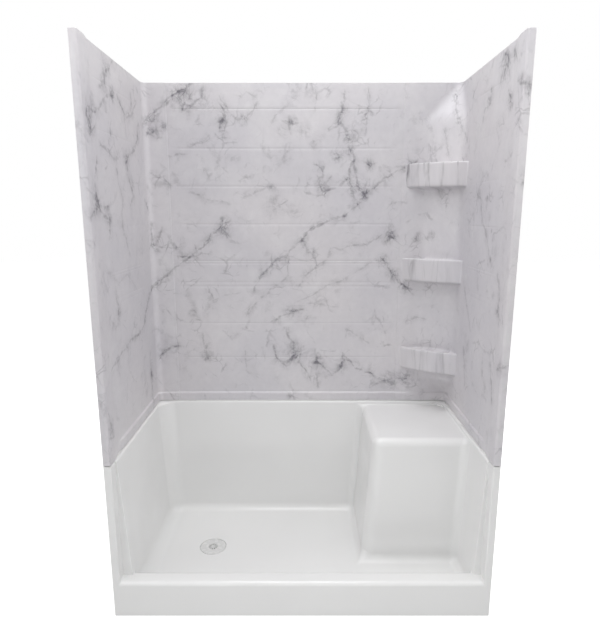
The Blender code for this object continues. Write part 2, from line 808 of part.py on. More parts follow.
def build_rim_seals():
    """Three beads of sealant that carry the panels on the pan's ledge."""
    low_z = RIM_HEIGHT + FIT_GAP
    high_z = RIM_HEIGHT + WALL_LIFT - FIT_GAP
    outer_x = WIDTH / 2 - SEAL_INSET + SEAL_WIDTH
    inner_y = DEPTH / 2 - SEAL_INSET - SEAL_WIDTH / 2
    for side, name in ((-1, "left_rim_seal"), (1, "right_rim_seal")):
        edges = sorted((side * (WIDTH / 2 - SEAL_INSET), side * outer_x))
        low = (edges[0], at_depth(RIM_FILLET), low_z)
        high = (edges[1], inner_y - FIT_GAP, high_z)
        add_object(name, box_shape(low, high), white_sealant())
    add_object("back_rim_seal", box_shape(
        (-outer_x, inner_y, low_z), (outer_x, inner_y + SEAL_WIDTH, high_z)), white_sealant())


def build_lap_tapes():
    """Tapes between the end panels' returns and the back panel."""
    high_y = DEPTH / 2 - WALL_INSET - FIT_GAP
    low_z = RIM_HEIGHT + WALL_LIFT + BAND_HEIGHT + BAND_SLOPE
    high_z = HEIGHT - BACKER_TOP_GAP
    spans = {
        "left_lap_tape": (LEFT_SEAM_X - LAP_WIDTH, LEFT_SEAM_X - SEAM_MARGIN),
        "right_lap_tape": (RIGHT_SEAM_X + SEAM_MARGIN, SHELF_EDGE_X - SEAM_MARGIN),
    }
    for name, (start, end) in spans.items():
        add_object(name, box_shape((start, high_y - LAP_TAPE, low_z), (end, high_y, high_z)), grey_tape())


def build_floor_pad():
    """Foam pad that carries the basin floor, with an opening round the drain."""
    half = WIDTH / 2
    left = -half + LEFT_FOOT_INSET + PAD_MARGIN
    right = half - RIGHT_FOOT_INSET - PAD_MARGIN
    front = at_depth(SILL_FOOT_DEPTH + PAD_MARGIN)
    rear = DEPTH / 2 - BACK_FOOT_INSET - PAD_MARGIN
    seat_x = SEAT_FOOT_X - PAD_MARGIN
    seat_y = at_depth(SEAT_FOOT_DEPTH - PAD_MARGIN)
    corners = [
        (left, front), (right, front), (right, seat_y), (seat_x, seat_y), (seat_x, rear), (left, rear)]
    shape = bmesh.new()
    below = [shape.verts.new((x, y, 0.0)) for x, y in corners]
    above = [shape.verts.new((x, y, floor_under(x) - PAN_SHEET - FIT_GAP)) for x, y in corners]
    shape.faces.new(below[::-1])
    shape.faces.new(above)
    for index in range(len(corners)):
        after = (index + 1) % len(corners)
        shape.faces.new((below[index], below[after], above[after], above[index]))
    pad = add_object("floor_support_pad", shape, foam())
    radius = DRAIN_FLANGE_RADIUS + PAD_DRAIN_CLEARANCE
    well = disc_shape(radius, -OVERRUN, FLOOR_HEIGHT + OVERRUN, (DRAIN_X, at_depth(DRAIN_DEPTH)))
    combine(pad, add_cutter("pad_drain_well", well), "DIFFERENCE")


def build_threshold_core():
    """Foam bar inside the hollow threshold, so that a foot can load it."""
    half = WIDTH / 2 - RIGHT_FOOT_INSET
    height = SILL_HEIGHT - SILL_FALL - PAN_SHEET - CORE_HEIGHT_GAP
    front = at_depth(PAN_SHEET + FIT_GAP)
    rear = at_depth(SILL_TOP_DEPTH - PAN_SHEET - FIT_GAP)
    shape = box_shape((-half, front, 0.0), (half, rear, height))
    top = [edge for edge in shape.edges if all(vert.co.z > height / 2 for vert in edge.verts)
           and abs(edge.verts[0].co.x - edge.verts[1].co.x) > half]
    bmesh.ops.bevel(shape, geom=top, offset=SILL_FILLET, segments=1, affect="EDGES")
    add_object("threshold_core", shape, foam())


def build_seat_supports():
    """Plywood board under the seat and the two legs that carry it to the floor."""
    top = RIM_HEIGHT - SEAT_DROP - PAN_SHEET - FIT_GAP
    left = SEAT_TOP_X + SEAT_BOARD_MARGIN
    right = WIDTH / 2 - SIDE_RIM_INSET - SEAT_BOARD_MARGIN
    front = at_depth(SEAT_TOP_DEPTH) + SEAT_BOARD_MARGIN
    rear = DEPTH / 2 - SIDE_RIM_INSET - SEAT_BOARD_MARGIN
    add_object("seat_board", box_shape((left, front, top - BOARD), (right, rear, top)), plywood())
    under = top - BOARD - FIT_GAP
    places = {"seat_front_leg": front + SEAT_LEG_MARGIN, "seat_rear_leg": rear - SEAT_LEG_MARGIN}
    for name, place in places.items():
        add_object(name, box_shape(
            (left, place - BOARD / 2, 0.0), (right, place + BOARD / 2, under)), plywood())


def build_rim_posts():
    """Upright posts that carry the rim ledge outside the basin walls."""
    high_z = RIM_HEIGHT - PAN_SHEET - FIT_GAP
    outer_x = WIDTH / 2 - FIT_GAP
    outer_y = DEPTH / 2 - FIT_GAP
    side_y = at_depth(SIDE_POST_DEPTH)
    half = POST_WIDTH / 2
    back_x = WIDTH / 2 - BACK_POST_FROM_END
    for name, x in (("back_left_post", -back_x), ("back_right_post", back_x)):
        add_object(name, box_shape(
            (x - half, outer_y - POST_THICKNESS, 0.0), (x + half, outer_y, high_z)), plywood())
    for name, side in (("left_post", -1), ("right_post", 1)):
        edges = sorted((side * outer_x, side * (outer_x - POST_THICKNESS)))
        add_object(name, box_shape(
            (edges[0], side_y - half, 0.0), (edges[1], side_y + half, high_z)), plywood())


# Drain: turned pieces stacked on one line through the floor

def drain_levels():
    """Heights of the drain's seats, from the recess in the floor downwards."""
    recess = floor_under(DRAIN_X) - DRAIN_RECESS
    under = recess - PAN_SHEET
    gasket = under - FIT_GAP
    washer = gasket - GASKET - FIT_GAP
    locknut = washer - WASHER - FIT_GAP
    return recess, gasket, washer, locknut


def build_drain():
    """Flanged body, gasket, friction washer, locknut and strainer."""
    centre = (DRAIN_X, at_depth(DRAIN_DEPTH))
    recess, gasket, washer, locknut = drain_levels()
    seat = recess + FIT_GAP
    flange_top = seat + DRAIN_FLANGE
    body = [
        (DRAIN_BORE_RADIUS, DRAIN_TAIL_END),
        (DRAIN_TAIL_RADIUS, DRAIN_TAIL_END),
        (DRAIN_TAIL_RADIUS, seat),
        (DRAIN_FLANGE_RADIUS, seat),
        (DRAIN_FLANGE_RADIUS, flange_top - DRAIN_FLANGE / 3),
        (DRAIN_FLANGE_RADIUS - DRAIN_FLANGE, flange_top),
        (DRAIN_BORE_RADIUS, flange_top),
    ]
    add_object("drain_body", lathe_shape(body, centre), drain_plastic())
    bore = DRAIN_TAIL_RADIUS + FIT_GAP
    for name, radius, top, thickness, finish in (
        ("drain_gasket", GASKET_RADIUS, gasket, GASKET, black_rubber()),
        ("drain_friction_washer", WASHER_RADIUS, washer, WASHER, fibre()),
    ):
        ring = [(bore, top - thickness), (radius, top - thickness), (radius, top), (bore, top)]
        add_object(name, lathe_shape(ring, centre), finish)
    ring = [(bore, locknut - LOCKNUT), (LOCKNUT_RADIUS - LOCKNUT_LUG, locknut - LOCKNUT),
            (LOCKNUT_RADIUS - LOCKNUT_LUG, locknut), (bore, locknut)]
    nut = add_object("drain_locknut", lathe_shape(ring, centre), drain_plastic())
    for index in range(LOCKNUT_LUGS):
        angle = 2 * math.pi * index / LOCKNUT_LUGS
        lug = radial_box(
            (LOCKNUT_RADIUS - 2 * LOCKNUT_LUG, LOCKNUT_RADIUS), LOCKNUT_LUG_WIDTH,
            (locknut - LOCKNUT + OVERLAP, locknut - OVERLAP), angle, centre)
        combine(nut, add_cutter(f"locknut_lug_{index + 1}", lug), "UNION")
    build_strainer(centre, flange_top + FIT_GAP)


def radial_box(radii, width, heights, angle, centre):
    """A box that points away from the drain's axis at an angle."""
    shape = box_shape((radii[0], -width / 2, heights[0]), (radii[1], width / 2, heights[1]))
    bmesh.ops.rotate(shape, verts=shape.verts, cent=(0, 0, 0), matrix=Matrix.Rotation(angle, 3, "Z"))
    bmesh.ops.translate(shape, verts=shape.verts, vec=(centre[0], centre[1], 0.0))
    return shape


def build_strainer(centre, seat):
    """Lift-out strainer: a slotted plate with a skirt that plugs into the drain's bore."""
    radius = DRAIN_FLANGE_RADIUS - STRAINER_GAP
    top = seat + STRAINER
    skirt = DRAIN_BORE_RADIUS - STRAINER_GAP
    inner = skirt - STRAINER_SKIRT_WALL
    foot = seat - STRAINER_SKIRT
    profile = [
        (0.0, top), (0.0, seat), (inner, seat), (inner, foot), (skirt, foot),
        (skirt, seat), (radius, seat), (radius, top - STRAINER / 2), (radius - STRAINER, top),
    ]
    plate = add_object("drain_strainer", turned_plate(profile, centre), drain_plastic())
    slots = bmesh.new()
    for index in range(STRAINER_SLOTS):
        angle = 2 * math.pi * index / STRAINER_SLOTS
        radii = (SLOT_START_RADIUS, SLOT_END_RADIUS)
        slot = radial_box(radii, SLOT_WIDTH, (seat - OVERRUN, top + OVERRUN), angle, centre)
        mesh = bpy.data.meshes.new("slot")
        slot.to_mesh(mesh)
        slot.free()
        slots.from_mesh(mesh)
        bpy.data.meshes.remove(mesh)
    combine(plate, add_cutter("strainer_slots", slots), "DIFFERENCE")


def turned_plate(profile, centre):
    """Turn an outline that starts and ends on the axis."""
    shape = bmesh.new()
    tips = [shape.verts.new((centre[0], centre[1], z)) for _, z in profile[:2]]
    rings = []
    for step in range(ROUND_STEPS):
        angle = 2 * math.pi * step / ROUND_STEPS
        rings.append([
            shape.verts.new((centre[0] + r * math.cos(angle), centre[1] + r * math.sin(angle), z))
            for r, z in profile[2:]
        ])
    for step in range(ROUND_STEPS):
        here = rings[step]
        there = rings[(step + 1) % ROUND_STEPS]
        shape.faces.new((tips[1], there[0], here[0]))
        shape.faces.new((tips[0], here[-1], there[-1]))
        for index in range(len(here) - 1):
            shape.faces.new((here[index], there[index], there[index + 1], here[index + 1]))
    return shape


def main():
    clear_scene()
    build_pan()
    build_back_panel()
    build_left_end_panel()
    build_right_end_panel()
    build_backers()
    build_rim_seals()
    build_lap_tapes()
    build_floor_pad()
    build_threshold_core()
    build_seat_supports()
    build_rim_posts()
    build_drain()


main()
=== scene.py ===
"""Looks of an alcove shower surround: marbled formed walls with a corner shelf tower, a glossy white
pan with a moulded seat, a lift-out strainer, and the boards, posts and seals behind them.

Metres, +Z up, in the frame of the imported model: the opening faces -Y.
"""

import math

import bmesh
import bpy
import numpy as np
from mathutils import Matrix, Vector


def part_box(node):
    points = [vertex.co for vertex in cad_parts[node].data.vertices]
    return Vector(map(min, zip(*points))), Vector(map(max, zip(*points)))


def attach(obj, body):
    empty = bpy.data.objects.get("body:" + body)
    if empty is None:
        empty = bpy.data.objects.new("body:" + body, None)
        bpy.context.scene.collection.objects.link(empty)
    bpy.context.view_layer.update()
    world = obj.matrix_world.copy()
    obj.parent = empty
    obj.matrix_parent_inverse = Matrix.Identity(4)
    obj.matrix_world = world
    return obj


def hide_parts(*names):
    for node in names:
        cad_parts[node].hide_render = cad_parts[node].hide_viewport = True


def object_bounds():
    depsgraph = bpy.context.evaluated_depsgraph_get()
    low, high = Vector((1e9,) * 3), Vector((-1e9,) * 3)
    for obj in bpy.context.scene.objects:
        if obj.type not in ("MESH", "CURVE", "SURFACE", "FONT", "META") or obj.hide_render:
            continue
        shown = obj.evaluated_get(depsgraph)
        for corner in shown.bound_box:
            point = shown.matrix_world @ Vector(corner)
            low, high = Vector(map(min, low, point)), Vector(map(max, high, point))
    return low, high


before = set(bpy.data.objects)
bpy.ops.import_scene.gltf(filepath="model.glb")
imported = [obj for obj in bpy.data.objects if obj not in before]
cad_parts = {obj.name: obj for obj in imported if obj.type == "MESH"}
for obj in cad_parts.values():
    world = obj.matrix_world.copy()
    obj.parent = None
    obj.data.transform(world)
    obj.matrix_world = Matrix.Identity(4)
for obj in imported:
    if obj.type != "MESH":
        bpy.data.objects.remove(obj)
cad_low, cad_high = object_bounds()

# Sizes that the visible sheets share with the construction
WIDTH = cad_high.x - cad_low.x
DEPTH = cad_high.y - cad_low.y
HEIGHT = cad_high.z
FRONT_Y = cad_low.y
RIM_HEIGHT = 0.591
WALL_SHEET = 0.003
WALL_INSET = 0.017
WALL_LIFT = 0.0035
WALL_FOOT = RIM_HEIGHT + WALL_LIFT
FACE_X = WIDTH / 2 - WALL_INSET
BACK_FACE_Y = DEPTH / 2 - WALL_INSET
RETURN_PROUD = 0.0046
RETURN_FACE_Y = BACK_FACE_Y - RETURN_PROUD
WALL_CORNER = 0.026
FRONT_BEND = 0.010
BORDER_PROUD = 0.008
BORDER_FULL_DEPTH = 0.042
BORDER_END_DEPTH = 0.108
BAND_PROUD = 0.006
BAND_HEIGHT = 0.040
BAND_SLOPE = 0.006
BAND_START_DEPTH = 0.112
BAND_FULL_DEPTH = 0.150
LAP_WIDTH = 0.030
LEFT_SEAM_INSET = 0.114
RIGHT_SEAM_INSET = 0.256
LEFT_SEAM_X = LEFT_SEAM_INSET - WIDTH / 2
RIGHT_SEAM_X = WIDTH / 2 - RIGHT_SEAM_INSET
SEAM_MARGIN = 0.006
SEAM_FEATHER = 0.066
FEATHER_POWER = 1.4
SEAM_THINNING = 0.00285
SEAM_TUCK = 0.00155
TUCK_WIDTH = 0.001
SHEET_GAP = 0.0003
GRID_STEP = 0.011
BEND_STEPS = 8
CORNER_STEPS = 9
SHEET_SHARP_ANGLE = math.radians(50)

# Pressed tile lines
LINE_HALF_WIDTH = 0.0032
LINE_DEPTH = 0.0015
LINE_FADE = 0.010
BACK_LINE_FADE = 0.060
BACK_LINE_SHARE = 0.62
LINE_SHARES = (0.150, 0.265, 0.386, 0.399, 0.460, 0.468, 0.583, 0.699, 0.812, 0.926)
ACCENT_SHARES = (0.386, 0.468)
SIDE_LINE_START_DEPTH = 0.118
SIDE_LINE_SHARE = 0.22
ACCENT_END_SHARE = 0.25
LEFT_LINE_REAR_GAP = 0.086
RIGHT_LINE_REAR_GAP = 0.206

# Corner shelf tower
TOWER_WIDTH = 0.142
TOWER_BAND_GAP = 0.006
CHIN_TIP = 0.008
CHIN_RISE = 0.075
SHELF_WIDTH = 0.222
SHELF_DEPTH = 0.142
SHELF_TAPER_SHARE = 0.96
SHELF_FACE = 0.098
SHELF_LIP_SHARES = (0.188, 0.478, 0.766)
SHELF_LIP = 0.011
SHELF_TRAY = 0.006
SHELF_ROUND = 0.005
SHELF_UNDERCUT = 0.010
ROOF_TOP_GAP = 0.009
ROOF_RISE = 0.142
ROOF_TIP = 0.008
SHELF_POWER = 1.25
TOWER_POWER = 0.90
CHIN_CUT = 0.012
SHELF_CUTS = (0.010, 0.007, 0.005, 0.003, 0.003, 0.010)
ROOF_CUT = 0.030
CUT_STEPS = 4
CUT_LIMIT = 0.49
SOFTEN_STEP = 0.002
TOWER_COLUMNS = 84
TOWER_ARC_POINTS = 49
TOWER_SKIRT = 0.006
SKIRT_FILLETS = 3.5
TRIM_FILLETS = 2
TOWER_FILLET = 0.024
SHELF_FILLET = 0.004
TOWER_LEAST_REACH = 0.002
TOWER_SHEET = WALL_SHEET * 0.7
TOWER_EDGE_SINK = 0.0022
TOWER_EDGE_RUN = 0.010
FACE_PRINT_STRETCH = 0.80

# The strainer's plate, skirt and slots
STRAINER_GAP = 0.0003
STRAINER_SKIRT = 0.0247
STRAINER_SKIRT_WALL = 0.002
STRAINER_HUB = 0.0012
STRAINER_EDGE = ((0.0, 0.0009), (0.0004, 0.0004), (0.0014, 0.0), (0.004, 0.0))
STRAINER_EDGE_WIDTH = 0.0003
STRAINER_EDGE_ANGLE = math.radians(50)
SLOTS = 12
SLOT_START = 0.009
SLOT_END = 0.021
SLOT_RADIUS = 0.0015
SLOT_OVERRUN = 0.004
SLOT_END_STEPS = 8

# Light and camera, with the camera as fitted to the corners of the unit in the photo
WHITE = (1.0, 1.0, 1.0, 1.0)
WORLD_STRENGTH = 0.33
FLOOR_HALF_SIZE = 14.0
FLOOR_TONE = 0.60
FLOOR_GLOW = 0.80
CAMERA_PLACE = (0.0, -2.0264, 1.4495)
CAMERA_TILT = math.radians(78.41)
CAMERA_LENS = 29.556
CAMERA_SENSOR = 36.0
CAMERA_SHIFT = -0.0031


def on_wall(share):
    """Height at a share of the walls' height over the pan's rim."""
    return RIM_HEIGHT + (HEIGHT - RIM_HEIGHT) * share


LINE_HEIGHTS = [on_wall(share) for share in LINE_SHARES]
ACCENT_HEIGHTS = [on_wall(share) for share in ACCENT_SHARES]


# Materials

class Nodes:
    """Short calls for the nodes of one material."""

    def __init__(self, name):
        self.material = bpy.data.materials.new(name)
        self.material.use_nodes = True
        self.tree = self.material.node_tree
        self.shader = self.tree.nodes["Principled BSDF"]

    def add(self, kind, inputs, output=0, **settings):
        """Add a node, give its inputs values or sockets, and return one of its outputs."""
        node = self.tree.nodes.new(kind)
        for key, value in settings.items():
            setattr(node, key, value)
        for key, value in inputs.items():
            self.give(node.inputs[key], value)
        return node.outputs[output]

    def give(self, socket, value):
        if isinstance(value, bpy.types.NodeSocket):
            self.tree.links.new(value, socket)
        elif socket.type == "RGBA":
            socket.default_value = (*value, 1.0)
        else:
            socket.default_value = value

    def made(self, **values):
        """Set the shader's own inputs, with an underscore for a space, and return the material."""
        for key, value in values.items():
            self.give(self.shader.inputs[key.replace("_", " ")], value)
        return self.material

    def maths(self, operation, *values, clamp=False):
        return self.add("ShaderNodeMath", dict(enumerate(values)), operation=operation, use_clamp=clamp)

    def times(self, first, second):
        return self.maths("MULTIPLY", first, second)

    def plus(self, first, *others):
        for other in others:
            first = self.maths("ADD", first, other)
        return first

    def vector(self, operation, *values):
        return self.add("ShaderNodeVectorMath", dict(enumerate(values)), operation=operation)

    def scaled(self, vector, factors):
        return self.vector("MULTIPLY", vector, factors)

    def noise(self, vector, scale, detail=2.0, roughness=0.5, output="Fac"):
        return self.add("ShaderNodeTexNoise", {
            "Vector": vector, "Scale": scale, "Detail": detail, "Roughness": roughness}, output)

    def shift(self, vector, scale, detail, amount):
        """A wandering offset of up to half the amount in the print's plane."""
        colour = self.noise(vector, scale, detail, output="Color")
        return self.scaled(self.vector("SUBTRACT", colour, (0.5, 0.5, 0.5)), (amount, amount, 0.0))

    def voronoi(self, vector, scale, feature="F1", output="Distance"):
        inputs = {"Vector": vector, "Scale": scale}
        return self.add("ShaderNodeTexVoronoi", inputs, output, feature=feature)

    def ramp(self, value, low, high, start=0.0, end=1.0):
        """Ease from start to end as the value goes from low to high."""
        return self.add("ShaderNodeMapRange", {
            "Value": value, "From Min": low, "From Max": high, "To Min": start, "To Max": end,
        }, interpolation_type="SMOOTHSTEP")

    def mix(self, factor, first, second):
        """Mix two colours."""
        node = self.tree.nodes.new("ShaderNodeMix")
        node.data_type = "RGBA"
        self.give(node.inputs[0], factor)
        self.give(node.inputs[6], first)
        self.give(node.inputs[7], second)
        return node.outputs[2]

    def attribute(self, name, output="Vector"):
        return self.add("ShaderNodeAttribute", {}, output, attribute_name=name)

    def split(self, vector):
        node = self.tree.nodes.new("ShaderNodeSeparateXYZ")
        self.give(node.inputs[0], vector)
        return node.outputs

    def place(self):
        """Coordinates on the object, in metres."""
        return self.add("ShaderNodeTexCoord", {}, "Object")

    def bump(self, height, distance, strength=1.0, normal=None):
        inputs = {"Height": height, "Distance": distance, "Strength": strength}
        if normal:
            inputs["Normal"] = normal
        return self.add("ShaderNodeBump", inputs)


# How far noise moves the drawn veins and their stray strands, in metres
VEIN_WANDER = 0.048
STRAND_WANDER = 0.085


def marble_ground(n, flat, bent, clouds, mottle):
    """The pale ground: clouds, warm patches, fine mottling and milky streaks."""
    warm = n.noise(flat, 1.3, 1.0)
    base = n.mix(n.ramp(clouds, 0.32, 0.68), (0.585, 0.570, 0.600), (0.640, 0.622, 0.643))
    base = n.mix(n.ramp(warm, 0.40, 0.70, 0.0, 0.5), base, (0.650, 0.622, 0.634))
    base = n.mix(n.ramp(mottle, 0.30, 0.70, 0.10, 0.0), base, (0.36, 0.35, 0.38))
    milk = n.noise(bent, 7.0, 4.0, 0.6)
    return n.mix(n.ramp(milk, 0.50, 0.72, 0.0, 0.35), base, (0.700, 0.690, 0.700))


def marble_web(n, flat, bent, mottle):
    """How dark the broken web, its lace and the soft smears are."""
    breaks = n.noise(flat, 11.0, 4.0, 0.6)
    patches = n.noise(flat, 3.1, 2.0)
    coarse = n.voronoi(bent, 6.2, "DISTANCE_TO_EDGE")
    fine = n.voronoi(n.scaled(bent, (1.0, 1.2, 1.0)), 17.0, "DISTANCE_TO_EDGE")
    web = n.times(n.ramp(coarse, 0.0, 0.035, 1.0, 0.0), n.ramp(breaks, 0.46, 0.64))
    web = n.times(web, n.ramp(patches, 0.36, 0.58, 0.05, 0.42))
    lace = n.times(n.ramp(fine, 0.0, 0.060, 1.0, 0.0), n.ramp(breaks, 0.50, 0.68))
    lace = n.times(lace, n.ramp(patches, 0.38, 0.60, 0.06, 0.40))
    smears = n.noise(n.scaled(bent, (1.0, 0.8, 1.0)), 10.0, 5.0, 0.64)
    smears = n.times(n.ramp(smears, 0.54, 0.70, 0.0, 0.34), n.ramp(mottle, 0.36, 0.60))
    return n.plus(web, lace, smears)


def marble_veins(n, flat, bent, hair, dark):
    """Add the drawn veins to the darkness: each has a core, a stray strand and a frayed haze round it."""
    wander = n.maths("SUBTRACT", n.noise(flat, 13.0, 6.0, 0.60), 0.5)
    stray = n.maths("SUBTRACT", n.noise(bent, 9.0, 5.0, 0.62), 0.5)
    pressure = n.noise(flat, 34.0, 4.0, 0.6)
    gaps = n.noise(bent, 13.0, 3.0, 0.6)
    haze = n.ramp(n.noise(bent, 26.0, 4.0, 0.6), 0.40, 0.66, 0.04, 0.42)
    for layer in VEINS:
        distance, strength, width = n.split(n.attribute(layer))
        off = n.maths("ABSOLUTE", n.plus(distance, n.times(wander, VEIN_WANDER)))
        aside = n.maths("ABSOLUTE", n.plus(distance, n.times(stray, STRAND_WANDER)))
        stroke = n.times(width, n.ramp(pressure, 0.32, 0.68, 0.28, 1.9))
        core = n.ramp(n.maths("DIVIDE", off, stroke), 0.0, 1.0, 1.0, 0.0)
        core = n.times(core, n.ramp(pressure, 0.36, 0.64, 0.22, 1.0))
        strand = n.ramp(n.maths("DIVIDE", aside, n.times(width, 0.7)), 0.0, 1.0, 0.75, 0.0)
        strand = n.times(strand, n.ramp(gaps, 0.44, 0.60))
        near = n.ramp(n.maths("DIVIDE", off, width), 1.0, 6.5, 1.0, 0.0)
        frayed = n.times(n.ramp(hair, 0.0, 0.15, 0.42, 0.0), n.ramp(gaps, 0.46, 0.62))
        around = n.times(near, n.plus(frayed, haze))
        dark = n.plus(dark, n.times(n.plus(core, strand, around), strength))
    return dark


def marble_material():
    """Printed marble under a satin clear face: clouds, a broken web, drawn veins and dark knots."""
    n = Nodes("marble_wall_plastic")
    along, up, knot = n.split(n.attribute("sheet"))
    flat = n.add("ShaderNodeCombineXYZ", {0: along, 1: up})
    drift = n.shift(flat, 5.0, 2.0, 0.10)
    ripple = n.shift(flat, 30.0, 5.0, 0.035)
    bent = n.vector("ADD", n.vector("ADD", flat, drift), ripple)
    clouds = n.noise(flat, 2.6, 3.0)
    mottle = n.noise(flat, 38.0, 5.0, 0.62)
    hair = n.voronoi(n.scaled(bent, (1.25, 1.0, 1.0)), 42.0, "DISTANCE_TO_EDGE")

    dark = marble_veins(n, flat, bent, hair, marble_web(n, flat, bent, mottle))
    speckle = n.noise(bent, 42.0, 5.0, 0.68)
    blots = n.plus(n.ramp(speckle, 0.44, 0.64, 0.12, 1.0), n.ramp(hair, 0.0, 0.18, 0.32, 0.0))
    dark = n.maths("MULTIPLY", n.plus(dark, n.times(knot, blots)), 0.82, clamp=True)
    ink = n.mix(clouds, (0.140, 0.135, 0.170), (0.180, 0.170, 0.175))
    waves = n.bump(n.noise(n.place(), 4.0, 1.0), 0.0035)
    return n.made(
        Base_Color=n.mix(dark, marble_ground(n, flat, bent, clouds, mottle), ink),
        Roughness=n.ramp(n.noise(flat, 7.0, 3.0), 0.3, 0.7, 0.36, 0.46),
        Normal=n.bump(n.noise(n.place(), 260.0, 2.0), 0.00012, normal=waves))


def pan_material():
    """Glossy white formed plastic with a slight orange peel and slow waves in its faces."""
    n = Nodes("white_pan_plastic")
    place = n.place()
    tint = n.ramp(n.noise(place, 2.2, 2.0), 0.3, 0.7)
    waves = n.bump(n.noise(place, 5.0, 1.0), 0.0025)
    return n.made(
        Base_Color=n.mix(tint, (0.766, 0.766, 0.763), (0.790, 0.790, 0.786)),
        Roughness=n.ramp(n.noise(place, 6.0, 3.0), 0.3, 0.7, 0.16, 0.24),
        Normal=n.bump(n.noise(place, 240.0, 2.0), 0.00010, normal=waves))


def drain_material():
    """Injection-moulded plastic with a fine grain and faint flow marks."""
    n = Nodes("white_drain_plastic")
    place = n.place()
    flow = n.noise(n.scaled(place, (1.0, 1.0, 4.0)), 14.0, 2.0)
    return n.made(
        Base_Color=n.mix(n.ramp(flow, 0.3, 0.7), (0.66, 0.66, 0.655), (0.69, 0.69, 0.685)),
        Roughness=n.ramp(n.noise(place, 60.0, 2.0), 0.3, 0.7, 0.21, 0.31),
        Normal=n.bump(n.noise(place, 900.0, 2.0), 0.00006))


def foam_material():
    """Expanded white foam: packed beads with dark seams between them."""
    n = Nodes("white_foam")
    place = n.place()
    seam = n.voronoi(place, 260.0, "DISTANCE_TO_EDGE")
    bead = n.voronoi(place, 260.0, "F1", "Color")
    shade = n.ramp(seam, 0.0, 0.12)
    tone = n.mix(n.ramp(n.noise(place, 9.0, 2.0), 0.3, 0.7), (0.74, 0.74, 0.72), (0.80, 0.80, 0.79))
    tone = n.mix(n.ramp(n.split(bead)[0], 0.0, 1.0, 0.0, 0.10), tone, (0.66, 0.67, 0.68))
    return n.made(
        Base_Color=n.mix(shade, (0.60, 0.60, 0.60), tone),
        Roughness=n.ramp(seam, 0.0, 0.3, 0.95, 0.75),
        Normal=n.bump(shade, 0.0006, 0.7))


def plywood_material():
    """Softwood plywood: long grain on the faces and light and dark plies through the thickness."""
    n = Nodes("plywood")
    place = n.place()
    x, y = n.split(place)[:2]
    grain = n.noise(n.scaled(place, (14.0, 14.0, 1.6)), 6.0, 4.0, 0.6)
    rings = n.add("ShaderNodeTexWave", {
        "Vector": n.scaled(place, (1.0, 1.0, 0.12)), "Scale": 22.0, "Distortion": 5.0, "Detail": 2.0,
    }, "Fac")
    tone = n.mix(n.ramp(grain, 0.3, 0.7), (0.40, 0.25, 0.13), (0.60, 0.42, 0.25))
    tone = n.mix(n.ramp(rings, 0.55, 1.0, 0.0, 0.45), tone, (0.33, 0.19, 0.09))
    plies = n.maths("FRACT", n.times(n.plus(x, y), 260.0))
    return n.made(
        Base_Color=n.mix(n.ramp(plies, 0.35, 0.65, 0.0, 0.12), tone, (0.28, 0.17, 0.09)),
        Roughness=n.ramp(grain, 0.3, 0.7, 0.80, 0.62),
        Normal=n.bump(grain, 0.0005, 0.6))


def rubber_material():
    n = Nodes("black_rubber")
    place = n.place()
    return n.made(
        Base_Color=n.mix(n.noise(place, 40.0, 3.0), (0.022, 0.022, 0.023), (0.045, 0.045, 0.046)),
        Roughness=n.ramp(n.noise(place, 120.0, 2.0), 0.3, 0.7, 0.62, 0.82),
        Normal=n.bump(n.noise(place, 700.0, 2.0), 0.0001))


def streaked_material(name, stretch, scale, detail, grain, dark, light, roughness, depth):
    """A material whose colour, roughness and bump all follow one stretched noise."""
    n = Nodes(name)
    streaks = n.noise(n.scaled(n.place(), stretch), scale, detail, grain)
    return n.made(
        Base_Color=n.mix(n.ramp(streaks, 0.3, 0.7), dark, light),
        Roughness=n.ramp(streaks, 0.3, 0.7, *roughness),
        Normal=n.bump(streaks, depth))


def fibre_material():
    return streaked_material(
        "fibre_washer", (1.0, 5.0, 1.0), 220.0, 4.0, 0.65,
        (0.34, 0.25, 0.16), (0.50, 0.40, 0.28), (0.90, 0.75), 0.0002)


def sealant_material():
    return streaked_material(
        "white_sealant", (3.0, 3.0, 1.0), 20.0, 3.0, 0.5,
        (0.66, 0.66, 0.65), (0.72, 0.72, 0.71), (0.38, 0.5), 0.0004)


def tape_material():
    return streaked_material(
        "grey_tape", (6.0, 6.0, 1.0), 40.0, 3.0, 0.5,
        (0.10, 0.10, 0.11), (0.17, 0.17, 0.18), (0.5, 0.7), 0.0003)


# Marble print

